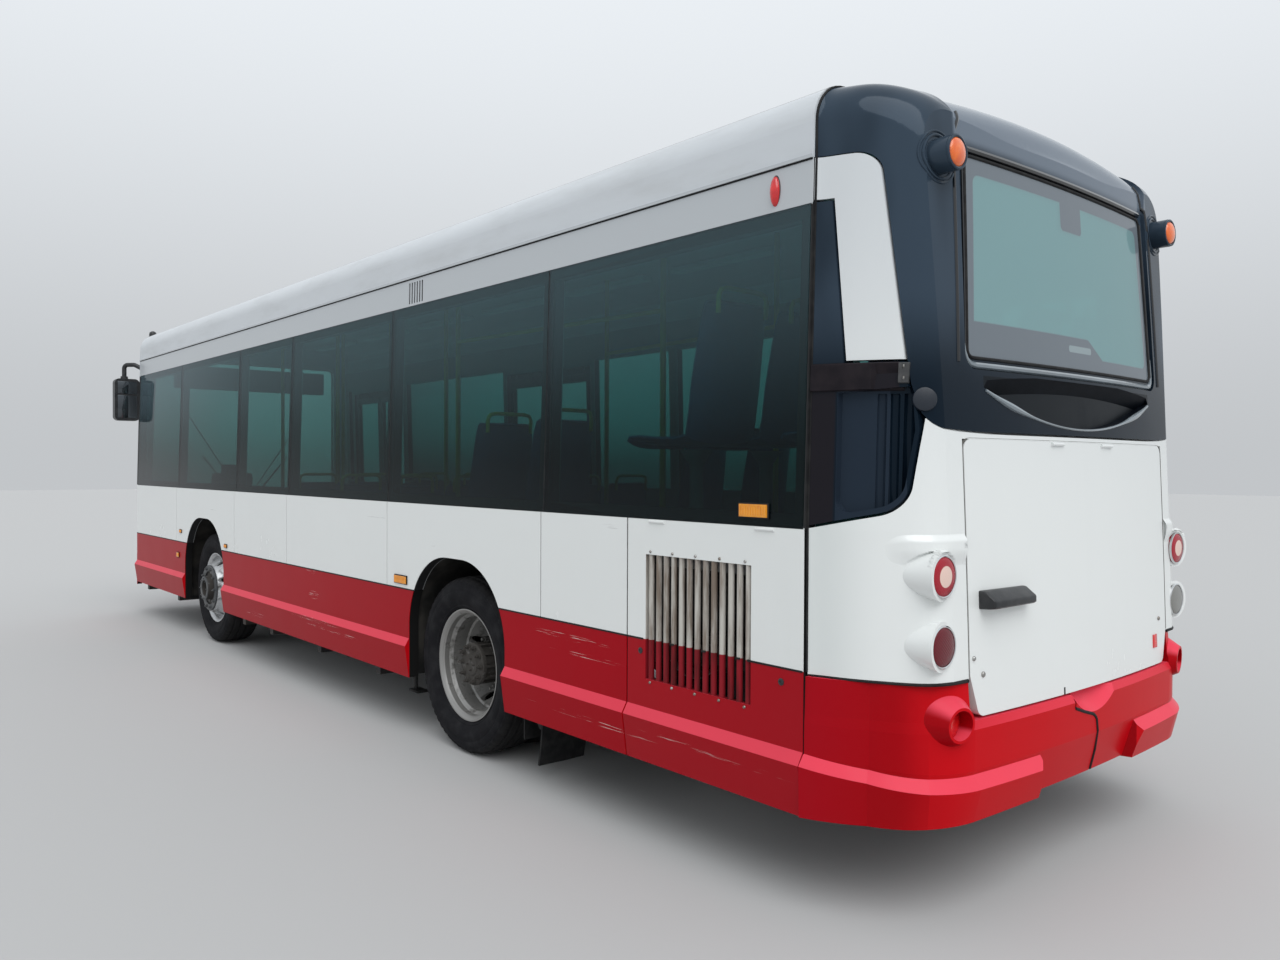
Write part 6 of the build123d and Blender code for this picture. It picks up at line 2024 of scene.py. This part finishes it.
def driver_frame(shape):
    boot = [(0.185, 0.0), (0.185, 0.03), (0.150, 0.05), (0.170, 0.10), (0.145, 0.15), (0.168, 0.20),
            (0.145, 0.25), (0.166, 0.30), (0.150, 0.36), (0.19, 0.40), (0.19, 0.44), (0.0, 0.44), (0.0, 0.0)]
    turned(shape, boot, DRIVER, "Z", 36)
    rounded_box(shape, DRIVER + Vector((-0.24, -0.235, 0.425)), DRIVER + Vector((0.235, 0.235, 0.452)),
                0.010)
    for way in (1, -1):
        tube(shape, [DRIVER + Vector(p) for p in ((-0.250, way * 0.10, 0.50), (-0.285, way * 0.10, 0.80),
                                                  (-0.315, way * 0.07, 1.10))], 0.016)


driver_padding = piece("driver_seat_pads", driver_pads, MOQUETTE, smooth=60)
frame_piece = piece("driver_seat_frame", driver_frame, BLACK)
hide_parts("driver_seat")

# %% [markdown]
# ## Ceiling lamps
#
# Two rows of frosted lamps run along the ceiling over the aisle's edges. The ceiling is curved, so a ray
# cast upwards finds the height of each.

# %% Ceiling lamps
FROST = grained("frosted_lamp", rgb(0.72, 0.74, 0.72), rgb(0.66, 0.68, 0.66), 0.5, 220)
CEILING_LAMP_Y = 0.62


@both_sides
def ceiling_lamps(shape, way):
    y = way * CEILING_LAMP_Y
    for number in range(7):
        x = SEAM + 0.55 + 1.18 * number
        ceiling = roof_surface.ray_cast(Vector((x + 0.4, y, 1.8)), Vector((0, 0, 1)))[0].z
        rounded_box(shape, (x, y - 0.05, ceiling - 0.042), (x + 0.9, y + 0.05, ceiling - 0.004), 0.012)


piece("ceiling_lamps", ceiling_lamps, FROST)

# %% [markdown]
# ## The stage
#
# A pale floor, a pale backdrop that is a little deeper near the floor, and one broad soft lamp, high
# behind the bus. Light Path lets the camera, the glass and the gloss see the backdrop's own tone, while
# an even light falls on the paint.

# %% Floor, sky and lamp
def build_stage():
    shape = bpy.data.meshes.new("floor_plane")
    reach = 60.0
    shape.from_pydata([(-reach, -reach, 0), (reach, -reach, 0), (reach, reach, 0), (-reach, reach, 0)],
                      [], [(0, 1, 2, 3)])
    ground = bpy.data.objects.new("floor_plane", shape)
    bpy.context.scene.collection.objects.link(ground)
    pale = bpy.data.materials.new("pale_floor")
    pale.use_nodes = True
    pale.node_tree.nodes["Principled BSDF"].inputs["Base Color"].default_value = rgb(0.50, 0.50, 0.50)
    pale.node_tree.nodes["Principled BSDF"].inputs["Roughness"].default_value = 0.9
    shape.materials.append(pale)
    sky = bpy.data.worlds.new("pale_sky")
    sky.use_nodes = True
    sky.node_tree.nodes.clear()
    g = Graph(sky.node_tree)
    rays = g.node("ShaderNodeLightPath")
    seen = rays.port("Is Camera Ray").most(rays.port("Is Transmission Ray"))
    seen = seen.most(rays.port("Is Glossy Ray"))
    heading = g.node("ShaderNodeTexCoord", out="Generated")
    height = g.node("ShaderNodeSeparateXYZ", {}, {0: heading}).port("Z")
    backdrop = g.blend(g.ease(height, -0.02, 0.5), rgb(0.54, 0.56, 0.58), rgb(0.84, 0.88, 0.92))
    lit = g.node("ShaderNodeBackground", {}, {"Color": rgb(0.93, 0.97, 1.0), "Strength": 0.80})
    shown = g.node("ShaderNodeBackground", {}, {"Color": backdrop, "Strength": 1.0})
    both = g.node("ShaderNodeMixShader", {}, {0: seen, 1: lit, 2: shown})
    g.node("ShaderNodeOutputWorld", {}, {"Surface": both})
    bpy.context.scene.world = sky
    sun = bpy.data.lights.new("soft_sun", "SUN")
    sun.energy = 1.5
    sun.angle = math.radians(50)
    lamp = bpy.data.objects.new("soft_sun", sun)
    lamp.rotation_euler = Vector((-0.75, 0.35, 1.0)).to_track_quat("Z", "Y").to_euler()
    bpy.context.scene.collection.objects.link(lamp)
    bpy.context.scene.view_settings.view_transform = "Standard"


build_stage()
